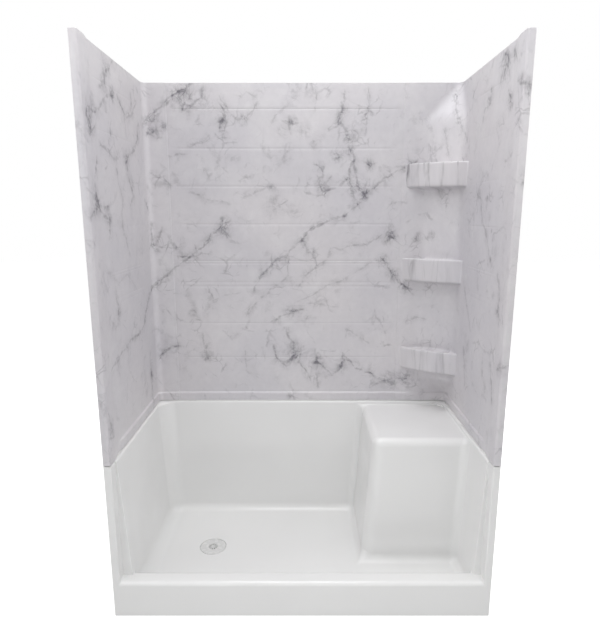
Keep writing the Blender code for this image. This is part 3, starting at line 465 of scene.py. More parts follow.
# Drawn veins in layers, where each point takes the nearest vein of each layer. A vein has its strength,
# its width and a route in metres on the unrolled sheets: the first value runs along the walls from the
# middle of the back one, round the corners, and the second is the height.
VEINS = {}
VEINS["vein_a"] = (
    (0.85, 0.004, (0.49, 1.67), (0.44, 1.64), (0.36, 1.6), (0.28, 1.53), (0.19, 1.44), (0.1, 1.41),
     (0.02, 1.37), (-0.01, 1.32), (-0.06, 1.28), (-0.12, 1.24), (-0.18, 1.18), (-0.21, 1.11)),
    (0.8, 0.0044, (-0.32, 1.41), (-0.35, 1.4), (-0.4, 1.35), (-0.44, 1.3), (-0.51, 1.25), (-0.58, 1.2),
     (-0.66, 1.14), (-0.72, 1.11), (-0.79, 1.04), (-0.85, 0.97), (-1.01, 0.96), (-1.24, 0.91)),
    (0.95, 0.0046, (-0.07, 0.93), (-0.04, 0.87), (-0.03, 0.81), (-0.07, 0.77), (-0.12, 0.8), (-0.13, 0.85)),
    (0.8, 0.004, (0.06, 0.77), (0.08, 0.77), (0.14, 0.72), (0.18, 0.75), (0.19, 0.81), (0.25, 0.75),
     (0.32, 0.72)),
    (0.75, 0.0038, (-0.55, 1.92), (-0.6, 1.88), (-0.66, 1.83), (-0.7, 1.8)),
    (0.75, 0.005, (-1.03, 1.86), (-1.1, 1.84), (-1.17, 1.79), (-1.22, 1.77), (-1.29, 1.77), (-1.3, 1.75),
     (-1.28, 1.72), (-1.27, 1.7), (-1.23, 1.72)),
    (0.7, 0.0044, (-1.19, 1.67), (-1.1, 1.66), (-1.07, 1.64), (-1.01, 1.65)),
    (0.85, 0.0046, (-1.26, 1.48), (-1.22, 1.47), (-1.16, 1.47)),
    (0.75, 0.0052, (1.15, 1.96), (1.18, 1.92), (1.2, 1.88)),
    (0.65, 0.0048, (1.2, 1.83), (1.24, 1.79)),
    (0.45, 0.0034, (0.85, 1.17), (0.9, 1.09), (0.97, 1.0)),
    (0.5, 0.0036, (1.28, 0.93), (1.31, 0.935), (1.35, 0.95)),
    (0.5, 0.0036, (0.55, 1.73), (0.57, 1.65), (0.6, 1.58), (0.63, 1.52)),
)
VEINS["vein_b"] = (
    (0.7, 0.004, (0.06, 1.65), (0.09, 1.64), (0.09, 1.6)),
    (0.6, 0.0036, (-0.08, 1.16), (-0.14, 1.11), (-0.2, 1.06), (-0.25, 1.0)),
    (0.55, 0.0034, (0.34, 1.35), (0.3, 1.32), (0.22, 1.31), (0.18, 1.29), (0.13, 1.3), (0.11, 1.24),
     (0.02, 1.19), (-0.01, 1.13)),
    (0.65, 0.0036, (-0.02, 0.79), (0.01, 0.74), (0.04, 0.69)),
    (0.75, 0.0042, (0.065, 0.83), (0.07, 0.77), (0.07, 0.66)),
    (0.85, 0.0046, (-0.45, 0.9), (-0.44, 0.84), (-0.44, 0.79)),
    (0.9, 0.0046, (-0.56, 0.85), (-0.6, 0.85), (-0.63, 0.83), (-0.66, 0.8)),
    (0.6, 0.0038, (-0.34, 1.92), (-0.31, 1.87), (-0.27, 1.84), (-0.24, 1.84), (-0.19, 1.89)),
    (0.5, 0.0034, (0.39, 1.49), (0.42, 1.5), (0.45, 1.5)),
    (0.85, 0.0048, (-0.98, 1.86), (-0.93, 1.82), (-0.89, 1.81), (-0.82, 1.83), (-0.83, 1.9)),
    (0.85, 0.0052, (-1.23, 1.62), (-1.27, 1.55), (-1.27, 1.51), (-1.26, 1.48), (-1.32, 1.44)),
    (0.7, 0.0042, (-0.765, 0.84), (-0.77, 0.77), (-0.768, 0.63)),
    (0.75, 0.005, (1.22, 1.95), (1.26, 1.92)),
    (0.65, 0.0048, (1.03, 1.88), (1.03, 1.83), (0.98, 1.82), (0.97, 1.79)),
    (0.6, 0.0044, (1.22, 1.62), (1.27, 1.63)),
    (0.6, 0.0046, (0.98, 1.52), (1.03, 1.43), (1.07, 1.38), (1.14, 1.29)),
    (0.65, 0.0048, (1.21, 0.92), (1.24, 0.86), (1.26, 0.8)),
)
VEINS["vein_c"] = (
    (0.5, 0.0036, (0.11, 1.55), (0.17, 1.57), (0.19, 1.59)),
    (0.6, 0.0044, (-0.41, 1.98), (-0.42, 1.93)),
    (0.45, 0.0034, (0.33, 1.25), (0.27, 1.21), (0.21, 1.17), (0.14, 1.14), (0.02, 1.08), (-0.02, 1.06)),
    (0.85, 0.0044, (0.0, 1.025), (-0.05, 1.01), (-0.13, 0.97)),
    (0.35, 0.0034, (0.02, 1.043), (0.08, 1.05), (0.15, 1.034)),
    (0.45, 0.0034, (-0.26, 0.82), (-0.255, 0.74), (-0.2, 0.7)),
    (0.6, 0.0036, (0.31, 0.66), (0.38, 0.68), (0.43, 0.7), (0.48, 0.695)),
    (0.4, 0.0034, (-0.13, 1.83), (-0.1, 1.86), (-0.06, 1.9)),
    (0.55, 0.0034, (-0.67, 1.31), (-0.64, 1.305), (-0.61, 1.3)),
    (0.55, 0.0036, (0.36, 1.25), (0.38, 1.21), (0.42, 1.16), (0.47, 1.12), (0.5, 1.1)),
    (0.4, 0.0034, (0.48, 0.97), (0.52, 0.985), (0.57, 0.98)),
    (0.9, 0.005, (-0.75, 1.8), (-0.78, 1.74), (-0.81, 1.7), (-0.91, 1.66), (-0.93, 1.64), (-0.92, 1.6),
     (-0.9, 1.57), (-0.86, 1.52), (-0.91, 1.48)),
    (0.95, 0.0052, (-1.26, 1.48), (-1.23, 1.46), (-1.18, 1.44), (-1.15, 1.43), (-1.16, 1.37)),
    (0.55, 0.0038, (-1.14, 1.18), (-1.13, 1.13), (-1.12, 1.06)),
    (0.55, 0.0036, (-1.31, 0.79), (-1.295, 0.74), (-1.28, 0.68)),
    (0.75, 0.0044, (1.29, 1.84), (1.34, 1.83), (1.38, 1.82)),
    (0.8, 0.0046, (0.655, 1.94), (0.695, 1.85), (0.745, 1.78), (0.79, 1.74)),
    (0.7, 0.0048, (1.22, 1.24), (1.25, 1.19), (1.27, 1.09)),
    (0.65, 0.0048, (0.9, 0.9), (0.93, 0.83), (0.95, 0.76)),
)
VEINS["vein_d"] = (
    (0.55, 0.0038, (0.28, 1.68), (0.29, 1.64)),
    (0.5, 0.0036, (0.28, 1.59), (0.27, 1.54)),
    (0.8, 0.0046, (-0.5, 1.88), (-0.47, 1.89), (-0.44, 1.91)),
    (0.45, 0.0034, (0.058, 1.95), (0.06, 1.91), (0.058, 1.88)),
    (0.5, 0.0034, (0.276, 1.95), (0.28, 1.91), (0.276, 1.87), (0.27, 1.78)),
    (0.35, 0.0032, (-0.12, 1.24), (-0.05, 1.26), (0.03, 1.24)),
    (0.45, 0.0034, (0.2, 0.93), (0.26, 0.9), (0.31, 0.87)),
    (0.4, 0.0034, (-0.4, 1.06), (-0.35, 1.09), (-0.29, 1.1)),
    (0.6, 0.005, (-1.02, 1.97), (-1.06, 1.94), (-1.11, 1.91), (-1.11, 1.88), (-1.16, 1.86)),
    (0.7, 0.005, (-1.07, 1.76), (-1.1, 1.69)),
    (0.6, 0.0046, (-0.62, 1.38), (-0.64, 1.33)),
    (0.55, 0.004, (-1.05, 1.6), (-1.0, 1.5), (-1.02, 1.4), (-0.96, 1.3)),
    (0.35, 0.0034, (-1.2, 1.25), (-1.1, 1.2), (-1.0, 1.22), (-0.9, 1.15)),
    (0.8, 0.0052, (1.15, 1.96), (1.14, 1.92), (1.12, 1.88)),
    (0.6, 0.0048, (1.31, 1.85), (1.32, 1.79)),
    (0.55, 0.0048, (1.13, 0.93), (1.14, 0.86)),
    (0.55, 0.004, (0.5, 1.25), (0.55, 1.2), (0.58, 1.14)),
    (0.5, 0.0036, (0.62, 0.9), (0.6, 0.82), (0.63, 0.75)),
)
VEINS["vein_e"] = (
    (0.6, 0.0038, (0.16, 1.83), (0.14, 1.81), (0.11, 1.79)),
    (0.5, 0.0036, (0.2, 1.76), (0.2, 1.7)),
    (0.85, 0.0042, (0.23, 1.67), (0.23, 1.61), (0.24, 1.56), (0.26, 1.54), (0.28, 1.52)),
    (0.85, 0.0042, (0.07, 1.6), (0.09, 1.54), (0.11, 1.55)),
    (0.85, 0.0044, (-0.34, 1.88), (-0.33, 1.84), (-0.36, 1.83), (-0.34, 1.79)),
    (0.75, 0.004, (-0.07, 1.83), (-0.02, 1.83)),
    (0.5, 0.0038, (-0.25, 1.52), (-0.22, 1.53), (-0.18, 1.55), (-0.16, 1.56)),
    (0.4, 0.0036, (-0.42, 1.63), (-0.4, 1.6)),
    (0.45, 0.0036, (-0.56, 1.69), (-0.5, 1.7)),
    (0.8, 0.005, (-0.35, 1.42), (-0.35, 1.37), (-0.33, 1.35)),
    (0.75, 0.0042, (-0.54, 1.26), (-0.49, 1.26), (-0.45, 1.28), (-0.41, 1.28)),
    (0.6, 0.004, (-0.67, 1.4), (-0.67, 1.34), (-0.67, 1.31), (-0.64, 1.29)),
    (0.75, 0.0042, (-0.66, 1.84), (-0.63, 1.84), (-0.61, 1.86)),
    (0.55, 0.0036, (0.0, 1.33), (0.02, 1.29), (0.05, 1.27)),
    (0.65, 0.0044, (0.38, 1.39), (0.39, 1.33)),
    (0.85, 0.0048, (-0.48, 1.96), (-0.49, 1.91), (-0.5, 1.88)),
    (0.5, 0.0038, (0.635, 1.79), (0.65, 1.74), (0.665, 1.69)),
    (0.32, 0.0034, (0.53, 1.67), (0.54, 1.63)),
    (0.45, 0.0034, (0.69, 1.67), (0.68, 1.63)),
)
VEINS["vein_f"] = (
    (0.8, 0.0042, (0.18, 1.94), (0.18, 1.89), (0.16, 1.85), (0.16, 1.82), (0.19, 1.79), (0.2, 1.77)),
    (0.8, 0.004, (0.21, 1.71), (0.23, 1.67), (0.21, 1.64), (0.2, 1.58), (0.21, 1.55), (0.23, 1.52)),
    (0.6, 0.0036, (0.1, 1.58), (0.12, 1.6)),
    (0.6, 0.0038, (-0.32, 1.82), (-0.33, 1.77)),
    (0.6, 0.0038, (-0.05, 1.84), (-0.05, 1.79)),
    (0.5, 0.0038, (-0.48, 1.54), (-0.42, 1.51), (-0.35, 1.5), (-0.32, 1.49)),
    (0.45, 0.0036, (-0.48, 1.73), (-0.41, 1.75), (-0.39, 1.78)),
    (0.4, 0.0056, (-0.06, 1.73), (-0.08, 1.67)),
    (0.5, 0.0036, (-0.32, 1.33), (-0.28, 1.32)),
    (0.5, 0.0036, (-0.47, 1.25), (-0.47, 1.3)),
    (0.55, 0.0038, (-0.65, 1.61), (-0.61, 1.6), (-0.57, 1.57)),
    (0.6, 0.004, (0.36, 1.33), (0.41, 1.35)),
    (0.85, 0.0048, (-0.58, 1.9), (-0.54, 1.93), (-0.51, 1.94), (-0.47, 1.98)),
    (0.52, 0.0042, (0.59, 1.67), (0.61, 1.63)),
    (0.38, 0.004, (0.755, 1.67), (0.77, 1.63)),
    (0.45, 0.0038, (0.73, 0.87), (0.745, 0.83)),
)

# Dark knots of the print as (along, height, radius, strength)
KNOTS = (
    (-0.5, 1.945, 0.046, 0.32), (-0.43, 1.92, 0.04, 0.25), (-0.59, 1.81, 0.012, 0.8),
    (-0.64, 1.79, 0.012, 0.8), (-0.61, 1.775, 0.012, 0.7), (-0.338, 1.823, 0.014, 0.8),
    (-0.249, 1.835, 0.014, 0.8), (-0.042, 1.827, 0.013, 0.7), (0.154, 1.693, 0.02, 0.7),
    (0.292, 1.652, 0.014, 0.7), (0.082, 1.569, 0.016, 0.6), (0.387, 1.351, 0.02, 0.8),
    (0.511, 1.343, 0.016, 0.7), (0.59, 1.356, 0.014, 0.5), (0.364, 1.246, 0.016, 0.8),
    (0.407, 1.179, 0.02, 0.7), (0.46, 1.13, 0.02, 0.6), (-0.035, 0.815, 0.028, 0.75),
    (0.067, 0.79, 0.018, 0.7), (0.181, 0.752, 0.018, 0.6), (0.41, 0.69, 0.03, 0.6), (0.48, 0.7, 0.03, 0.5),
    (0.2, 1.76, 0.018, 0.6), (0.172, 1.87, 0.016, 0.5), (-1.08, 1.93, 0.026, 0.35),
    (-1.12, 1.88, 0.02, 0.45), (-1.26, 1.76, 0.034, 0.45), (-1.28, 1.71, 0.02, 0.65),
    (-1.04, 1.86, 0.018, 0.8), (-0.93, 1.65, 0.02, 0.8), (-0.88, 1.56, 0.016, 0.6),
    (-1.26, 1.48, 0.024, 0.65), (-1.16, 1.43, 0.018, 0.5), (-0.66, 1.78, 0.012, 0.6),
    (-1.125, 1.09, 0.016, 0.6), (-0.768, 0.75, 0.018, 0.6), (-1.29, 0.72, 0.018, 0.6),
    (1.16, 1.92, 0.032, 0.5), (1.23, 1.94, 0.014, 0.8), (1.22, 1.8, 0.018, 0.6), (1.35, 1.82, 0.016, 0.6),
    (1.361, 1.554, 0.016, 0.6), (1.02, 1.845, 0.018, 0.5), (1.25, 1.12, 0.018, 0.6),
    (1.31, 0.935, 0.016, 0.5), (0.97, 1.52, 0.014, 0.5), (-0.13, 1.56, 0.01, 0.6),
    (-0.31, 1.68, 0.01, 0.4), (-0.28, 1.68, 0.01, 0.4), (-0.12, 1.48, 0.03, 0.3),
    (-0.03, 1.46, 0.022, 0.25), (-0.08, 1.79, 0.022, 0.3), (0.01, 1.79, 0.022, 0.3),
    (0.05, 1.74, 0.012, 0.5), (0.09, 1.56, 0.018, 0.5), (0.27, 1.53, 0.016, 0.6), (-0.05, 1.01, 0.02, 0.5),
    (-0.44, 0.8, 0.014, 0.6), (0.445, 1.635, 0.008, 0.6), (-0.33, 1.4, 0.014, 0.5),
)

# Shares that the listed strengths and sizes are taken by, and how far a vein reaches beside and past itself
VEIN_INK = 0.66
VEIN_SPREAD = 1.5
KNOT_INK = 1.25
KNOT_SPREAD = 1.35
VEIN_REACH = 0.042
VEIN_END = 0.016

# Distance, strength and width where no vein is near
NO_VEIN = (1.0, 0.0, 0.004)


def marble_coordinates(places):
    """Distance along the walls from the middle of the back one, and height, of points on the sheets."""
    side = np.sign(places[:, 0])
    return np.stack([places[:, 0] + side * (BACK_FACE_Y - places[:, 1]), places[:, 2]], axis=1)


def route_field(route, spots):
    """Signed distance from points to a route, and how far past its ends they lie."""
    best = np.full(len(spots), np.inf)
    signed = np.zeros(len(spots))
    past = np.zeros(len(spots))
    last = len(route) - 2
    for index in range(last + 1):
        start = route[index]
        step = route[index + 1] - start
        length = np.hypot(*step)
        way = step / length
        offset = spots - start
        run = offset @ way
        side = offset[:, 0] * way[1] - offset[:, 1] * way[0]
        over = np.maximum(np.maximum(-run, run - length), 0.0)
        reach = np.hypot(over, side)
        nearer = reach < best
        best[nearer] = reach[nearer]
        end = np.where(run < 0, index == 0, index == last) & (over > 0)
        value = np.where(end, side, np.copysign(reach, side))
        signed[nearer] = value[nearer]
        past[nearer] = np.where(end, over, 0.0)[nearer]
    return best, signed, past


def print_marble(piece, spots):
    """Write the sheet's print coordinates and vein fields to a mesh as attributes."""
    mesh = piece.data
    knots = np.zeros(len(spots))
    for along, height, radius, strength in KNOTS:
        reach = np.hypot(spots[:, 0] - along, spots[:, 1] - height)
        knots = np.maximum(knots, KNOT_INK * strength * np.exp(-(reach / (radius * KNOT_SPREAD)) ** 2))
    write_vectors(mesh, "sheet", np.column_stack([spots, knots]))
    for layer, veins in VEINS.items():
        nearest = np.full(len(spots), np.inf)
        field = np.tile(NO_VEIN, (len(spots), 1))
        for strength, width, *route in veins:
            reach, signed, past = route_field(np.array(route), spots)
            nearer = reach < nearest
            nearest[nearer] = reach[nearer]
            fade = np.sqrt(np.clip(1 - reach / VEIN_REACH, 0, 1) * np.clip(1 - past / VEIN_END, 0, 1))
            field[nearer, 0] = signed[nearer]
            field[nearer, 1] = (strength * VEIN_INK * fade)[nearer]
            field[nearer, 2] = width * VEIN_SPREAD
        write_vectors(mesh, layer, field)


def write_vectors(mesh, name, values):
    made = mesh.attributes.new(name, "FLOAT_VECTOR", "POINT")
    made.data.foreach_set("vector", values.astype(np.float32).ravel())


# Meshes

def add_piece(name, places, faces, finish):
    mesh = bpy.data.meshes.new(name)
    mesh.from_pydata(places, [], faces)
    mesh.materials.append(finish)
    mesh.shade_smooth()
    piece = bpy.data.objects.new(name, mesh)
    bpy.context.collection.objects.link(piece)
    return piece


def grid_faces(grid, flip):
    """Faces between the points of a grid, which holds the points' numbers."""
    faces = np.stack([grid[:-1, :-1], grid[:-1, 1:], grid[1:, 1:], grid[1:, :-1]], axis=2).reshape(-1, 4)
    return (faces[:, ::-1] if flip else faces).tolist()


def closed_sheet(name, front, rear, finish, flip):
    """A sheet with a front and a rear grid of points, closed round its edges."""
    rows, columns = front.shape[:2]
    count = rows * columns
    grid = np.arange(count).reshape(rows, columns)
    edge = np.concatenate([grid[0], grid[1:, -1], grid[-1, -2::-1], grid[-2::-1, 0]])
    faces = grid_faces(grid, flip) + grid_faces(grid + count, not flip)
    faces += grid_faces(np.stack([edge, edge + count], axis=1), flip)
    places = np.concatenate([front.reshape(-1, 3), rear.reshape(-1, 3)])
    piece = add_piece(name, places, faces, finish)
    piece.data.set_sharp_from_angle(angle=SHEET_SHARP_ANGLE)
    return piece


def stations(low, high, step, features, spread):
    """Sorted values from low to high, with extra ones across each feature."""
    fine = [low, high]
    for feature in features:
        fine += [feature + spread * share for share in (-1.0, -0.66, -0.33, 0.0, 0.33, 0.66, 1.0)]
    fine = [value for value in fine if low <= value <= high]
    coarse = np.linspace(low, high, max(2, round((high - low) / step) + 1))
    coarse = [value for value in coarse if min(abs(value - other) for other in fine) > spread]
    return np.array(sorted(set(fine) | set(coarse)))


def bell(distance, half_width):
    """A rounded groove's share of its depth at a distance from its middle."""
    inside = np.clip(np.abs(distance) / half_width, 0, 1)
    return 0.5 * (1 + np.cos(math.pi * inside))


def eased(share):
    """Ease a share from 0 to 1, level at both ends."""
    share = np.clip(share, 0, 1)
    return share * share * (3 - 2 * share)


def wall_rows():
    """Heights of the grid rows, with extra ones at the foot band's top and at each pressed line."""
    band_top = WALL_FOOT + BAND_HEIGHT - BAND_SLOPE / 2
    return stations(WALL_FOOT, HEIGHT, GRID_STEP, [band_top] + LINE_HEIGHTS, LINE_HALF_WIDTH)


def band_offset(rows):
    """How far the foot band stands proud at each height."""
    start = WALL_FOOT + BAND_HEIGHT - BAND_SLOPE
    return BAND_PROUD * (1 - eased((rows - start) / BAND_SLOPE))


def wall_sheet(name, plan, outs, band_share, line_share, upright_share, thickness, finish, flip):
    """A formed wall sheet along a plan line, with its foot band and its pressed lines."""
    rows = wall_rows()
    grooves = np.zeros(len(rows))
    for height in LINE_HEIGHTS:
        grooves = np.maximum(grooves, bell(rows - height, LINE_HALF_WIDTH))
    accent = (rows > ACCENT_HEIGHTS[0]) & (rows < ACCENT_HEIGHTS[1])
    groove = np.maximum(grooves[:, None] * line_share, accent[:, None] * upright_share)
    offset = band_offset(rows)[:, None] * band_share - LINE_DEPTH * groove
    front = np.zeros((len(rows), len(plan), 3))
    front[:, :, :2] = plan + outs * offset[:, :, None]
    front[:, :, 2] = rows[:, None]
    rear = front.copy()
    rear[:, :, :2] -= outs * thickness
    piece = closed_sheet(name, front, rear, finish, flip)
    places = np.concatenate([front.reshape(-1, 3), rear.reshape(-1, 3)])
    print_marble(piece, marble_coordinates(places))
    return piece


def arc(centre, radius, start, end, steps, hollow=False):
    """Points round a centre and their ways out of the face, which points at the centre of a hollow arc."""
    angles = np.linspace(start, end, steps + 1)
    outs = np.stack([np.cos(angles), np.sin(angles)], axis=1)
    return np.array(centre) + outs * radius * (-1.0 if hollow else 1.0), outs


def faded_line(share, places, start, end, fade):
    """A pressed line's share of its depth at places along it, fading out at both ends."""
    return share * eased((places - start) / fade) * eased((end - places) / fade)


def feathered(xs, seam_x):
    """How far a return has run down towards its edge, from 0 to 1."""
    return np.clip((seam_x + SEAM_FEATHER - xs) / SEAM_FEATHER, 0, 1) ** FEATHER_POWER


def seam_drop(xs, seam_x, tuck_width):
    """How far a return's face lies behind its flat part, so that its edge ends close to the back panel."""
    tuck = np.clip((seam_x + tuck_width - xs) / tuck_width, 0, 1)
    return SEAM_THINNING * feathered(xs, seam_x) + SEAM_TUCK * tuck


def end_plan(seam_x, rear_gap):
    """Plan of the right end panel, and along it what wall_sheet asks for, up to the thickness."""
    border_x = FACE_X - BORDER_PROUD
    bend_x = border_x + FRONT_BEND
    bend_y = FRONT_Y + FRONT_BEND
    corner_x = FACE_X - WALL_CORNER
    corner_y = RETURN_FACE_Y - WALL_CORNER
    line_end = DEPTH / 2 - rear_gap
    ys = stations(bend_y + GRID_STEP, corner_y - GRID_STEP / 2, GRID_STEP, [line_end], LINE_FADE)
    share = eased((ys - FRONT_Y - BORDER_FULL_DEPTH) / (BORDER_END_DEPTH - BORDER_FULL_DEPTH))
    xs = stations(seam_x, corner_x - GRID_STEP, GRID_STEP, [seam_x], TUCK_WIDTH)[::-1]
    return_ys = RETURN_FACE_Y + seam_drop(xs, seam_x, TUCK_WIDTH)
    stretches = [
        ([[WIDTH / 2, FRONT_Y], [(WIDTH / 2 + bend_x) / 2, FRONT_Y]], [[0.0, -1.0]] * 2),
        arc((bend_x, bend_y), FRONT_BEND, -math.pi / 2, -math.pi, BEND_STEPS),
        (np.stack([border_x + BORDER_PROUD * share, ys], axis=1), [[-1.0, 0.0]] * len(ys)),
        arc((corner_x, corner_y), WALL_CORNER, -math.pi, -math.pi / 2, CORNER_STEPS, hollow=True),
        (np.stack([xs, return_ys], axis=1), [[0.0, -1.0]] * len(xs)),
    ]
    plan = np.concatenate([points for points, ways in stretches])
    outs = np.concatenate([ways for points, ways in stretches])
    depth = plan[:, 1] - FRONT_Y
    band = eased((depth - BAND_START_DEPTH) / (BAND_FULL_DEPTH - BAND_START_DEPTH))
    lines = faded_line(SIDE_LINE_SHARE, depth, SIDE_LINE_START_DEPTH, DEPTH - rear_gap, LINE_FADE)
    thickness = np.full((len(plan), 1), WALL_SHEET)
    thickness[-len(xs):, 0] -= SEAM_THINNING * feathered(xs, seam_x)
    return plan, outs, band, lines, 0.0, thickness


def build_walls(finish):
    """The three formed wall sheets."""
    edges = (LEFT_SEAM_X - LAP_WIDTH, WIDTH / 2 - WALL_INSET - SHELF_WIDTH - SHEET_GAP)
    ends = (LEFT_SEAM_X + SEAM_MARGIN, RIGHT_SEAM_X - SEAM_MARGIN)
    xs = stations(edges[0], edges[1], GRID_STEP, ends, LINE_HALF_WIDTH)
    plan = np.stack([xs, np.full(len(xs), BACK_FACE_Y)], axis=1)
    outs = np.array([[0.0, -1.0]] * len(xs))
    lines = faded_line(BACK_LINE_SHARE, xs, ends[0], ends[1], BACK_LINE_FADE)
    uprights = np.maximum(bell(xs - ends[0], LINE_HALF_WIDTH), bell(xs - ends[1], LINE_HALF_WIDTH))
    uprights *= ACCENT_END_SHARE
    back = wall_sheet("back_wall", plan, outs, 1.0, lines, uprights, WALL_SHEET, finish, False)
    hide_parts("back_panel")

    right = wall_sheet("right_end_wall", *end_plan(RIGHT_SEAM_X, RIGHT_LINE_REAR_GAP), finish, True)
    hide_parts("right_end_panel")
    plan, outs, *rest = end_plan(-LEFT_SEAM_X, LEFT_LINE_REAR_GAP)
    mirror = np.array([-1.0, 1.0])
    left = wall_sheet("left_end_wall", plan * mirror, outs * mirror, *rest, finish, False)
    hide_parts("left_end_panel")
    for piece in (back, left, right):
        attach(piece, "surround")


# Shelf tower

def rounded(corners, cuts):
    """A line through corner points with each inner corner rounded by its own cut."""
    made = [corners[0]]
    for index in range(1, len(corners) - 1):
        here = corners[index]
        ends = []
        for other in (corners[index - 1], corners[index + 1]):
            length = np.linalg.norm((other - here)[:2])
            ends.append(here + (other - here) * min(cuts[index], length * CUT_LIMIT) / length)
        for step in range(CUT_STEPS + 1):
            t = step / CUT_STEPS
            made.append(ends[0] * (1 - t) ** 2 + here * 2 * t * (1 - t) + ends[1] * t ** 2)
    made.append(corners[-1])
    return made


def filled(line, step):
    """The same line with more points along its long stretches and no doubled ones."""
    made = [line[0]]
    for here, there in zip(line, line[1:]):
        length = np.linalg.norm((there - here)[:2])
        if length < 1e-6:
            continue
        count = max(1, round(length / step))
        for index in range(1, count + 1):
            made.append(here + (there - here) * index / count)
    return np.array(made)


def tower_line():
    """The tower's section from the chin's tip to the roof's tip as rows of (reach, height, power)."""
    shelf = SHELF_WIDTH * SHELF_DEPTH / math.hypot(SHELF_WIDTH, SHELF_DEPTH)
    tower = shelf * TOWER_WIDTH / SHELF_WIDTH
    chin = WALL_FOOT + BAND_HEIGHT + TOWER_BAND_GAP
    corners = [(CHIN_TIP, chin, TOWER_POWER), (tower, chin + CHIN_RISE, TOWER_POWER)]
    cuts = [0.0, CHIN_CUT]
    for share in SHELF_LIP_SHARES:
        lip = on_wall(share)
        under = lip - SHELF_FACE
        narrow = shelf * SHELF_TAPER_SHARE
        corners += [
            (tower, under - SHELF_UNDERCUT, TOWER_POWER),
            (narrow, under, SHELF_POWER),
            (shelf, lip, SHELF_POWER),
            (shelf - SHELF_LIP, lip, SHELF_POWER),
            (shelf - SHELF_LIP - SHELF_ROUND, lip - SHELF_TRAY, SHELF_POWER),
            (tower, lip - SHELF_TRAY, TOWER_POWER),
        ]
        cuts += SHELF_CUTS
    roof = HEIGHT - ROOF_TOP_GAP
    corners += [(tower, roof - ROOF_RISE, TOWER_POWER), (ROOF_TIP, roof, TOWER_POWER)]
    cuts += [ROOF_CUT, 0.0]
    line = rounded([np.array(corner) for corner in corners], cuts)
    return filled(line, GRID_STEP)


def run_along(line):
    """Distance along a plan line to each of its points."""
    return np.concatenate([[0], np.cumsum(np.linalg.norm(np.diff(line, axis=0), axis=1))])


def points_at(places, runs, line):
    """Points of a plan line at distances along it."""
    return np.stack([np.interp(places, runs, line[:, axis]) for axis in range(2)], axis=1)


def soften(line, radius):
    """A plan line in even steps with every bend rounded and its ends kept."""
    runs = run_along(line)
    places = np.linspace(0, runs[-1], int(runs[-1] / SOFTEN_STEP) + 1)
    even = points_at(places, runs, line)
    pad = int(3 * radius / SOFTEN_STEP)
    weights = np.exp(-(np.arange(-pad, pad + 1) * SOFTEN_STEP / radius) ** 2)
    weights /= weights.sum()
    before = even[0] + (even[0] - even[1]) * np.arange(pad, 0, -1)[:, None]
    after = even[-1] + (even[-1] - even[-2]) * np.arange(1, pad + 1)[:, None]
    long = np.concatenate([before, even, after])
    return np.stack([np.convolve(long[:, axis], weights, "valid") for axis in range(2)], axis=1)


def tower_outline(reach, power):
    """Plan outline of the tower at a reach from the corner, from the back wall to the right wall."""
    diagonal = math.hypot(SHELF_WIDTH, SHELF_DEPTH)
    share = (SHELF_POWER - power) / (SHELF_POWER - TOWER_POWER)
    wide = reach * diagonal / SHELF_DEPTH
    deep = reach * diagonal / SHELF_WIDTH
    angles = np.linspace(0, math.pi / 2, TOWER_ARC_POINTS)
    x = FACE_X - wide * np.abs(np.cos(angles)) ** (2 / power)
    y = RETURN_FACE_Y - deep * np.sin(angles) ** (2 / power)
    fillet = SHELF_FILLET + (TOWER_FILLET - SHELF_FILLET) * share
    skirt = TOWER_SKIRT + SKIRT_FILLETS * fillet
    line = np.stack([x, y], axis=1)
    line = np.concatenate([[[x[0] - skirt, y[0]]], line, [[x[-1], y[-1] - skirt]]])
    line = soften(line, fillet)
    runs = run_along(line)
    trim = TRIM_FILLETS * fillet
    places = np.linspace(trim, runs[-1] - trim, TOWER_COLUMNS)
    even = points_at(places, runs, line)
    sunk = 1 - eased(np.minimum(places - trim, runs[-1] - trim - places) / TOWER_EDGE_RUN)
    half = len(even) // 2
    even[:half, 1] += TOWER_EDGE_SINK * sunk[:half]
    even[half:, 0] += TOWER_EDGE_SINK * sunk[half:]
    even[:half, 1] -= SHEET_GAP
    even[half:, 0] -= SHEET_GAP
    even[:, 1] += seam_drop(even[:, 0], RIGHT_SEAM_X, SEAM_MARGIN)
    return even


def build_tower(finish):
    """The shelf tower formed in the right end panel's rear corner."""
    line = tower_line()
    front = np.zeros((len(line), TOWER_COLUMNS, 3))
    for row, (reach, height, power) in enumerate(line):
        front[row, :, :2] = tower_outline(max(reach, TOWER_LEAST_REACH), power)
        front[row, :, 2] = height
    climb = np.diff(front, axis=0)
    rise = np.zeros_like(front)
    rise[:-1] += climb
    rise[1:] += climb
    run = np.gradient(front, axis=1)
    normal = np.cross(run, rise)
    normal /= np.maximum(np.linalg.norm(normal, axis=2, keepdims=True), 1e-9)
    rear = front - normal * TOWER_SHEET
    piece = closed_sheet("shelf_tower", front, rear, finish, True)
    # The print is stretched down the shelves' faces, so that its veins make streaks there
    stretch = np.zeros(len(line))
    for share in SHELF_LIP_SHARES:
        lip = on_wall(share)
        on_face = (line[:, 1] <= lip + 1e-6) & (line[:, 1] >= lip - SHELF_FACE)
        stretch = np.where(on_face, (lip - line[:, 1]) * FACE_PRINT_STRETCH, stretch)
    spots = marble_coordinates(front.reshape(-1, 3))
    spots[:, 1] += np.repeat(stretch, TOWER_COLUMNS)
    print_marble(piece, np.concatenate([spots, spots]))
    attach(piece, "surround")
    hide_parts("right_end_panel")


# Pieces that keep their construction shape

WELD_DISTANCE = 0.00002
SOFT_ANGLE = math.radians(32)


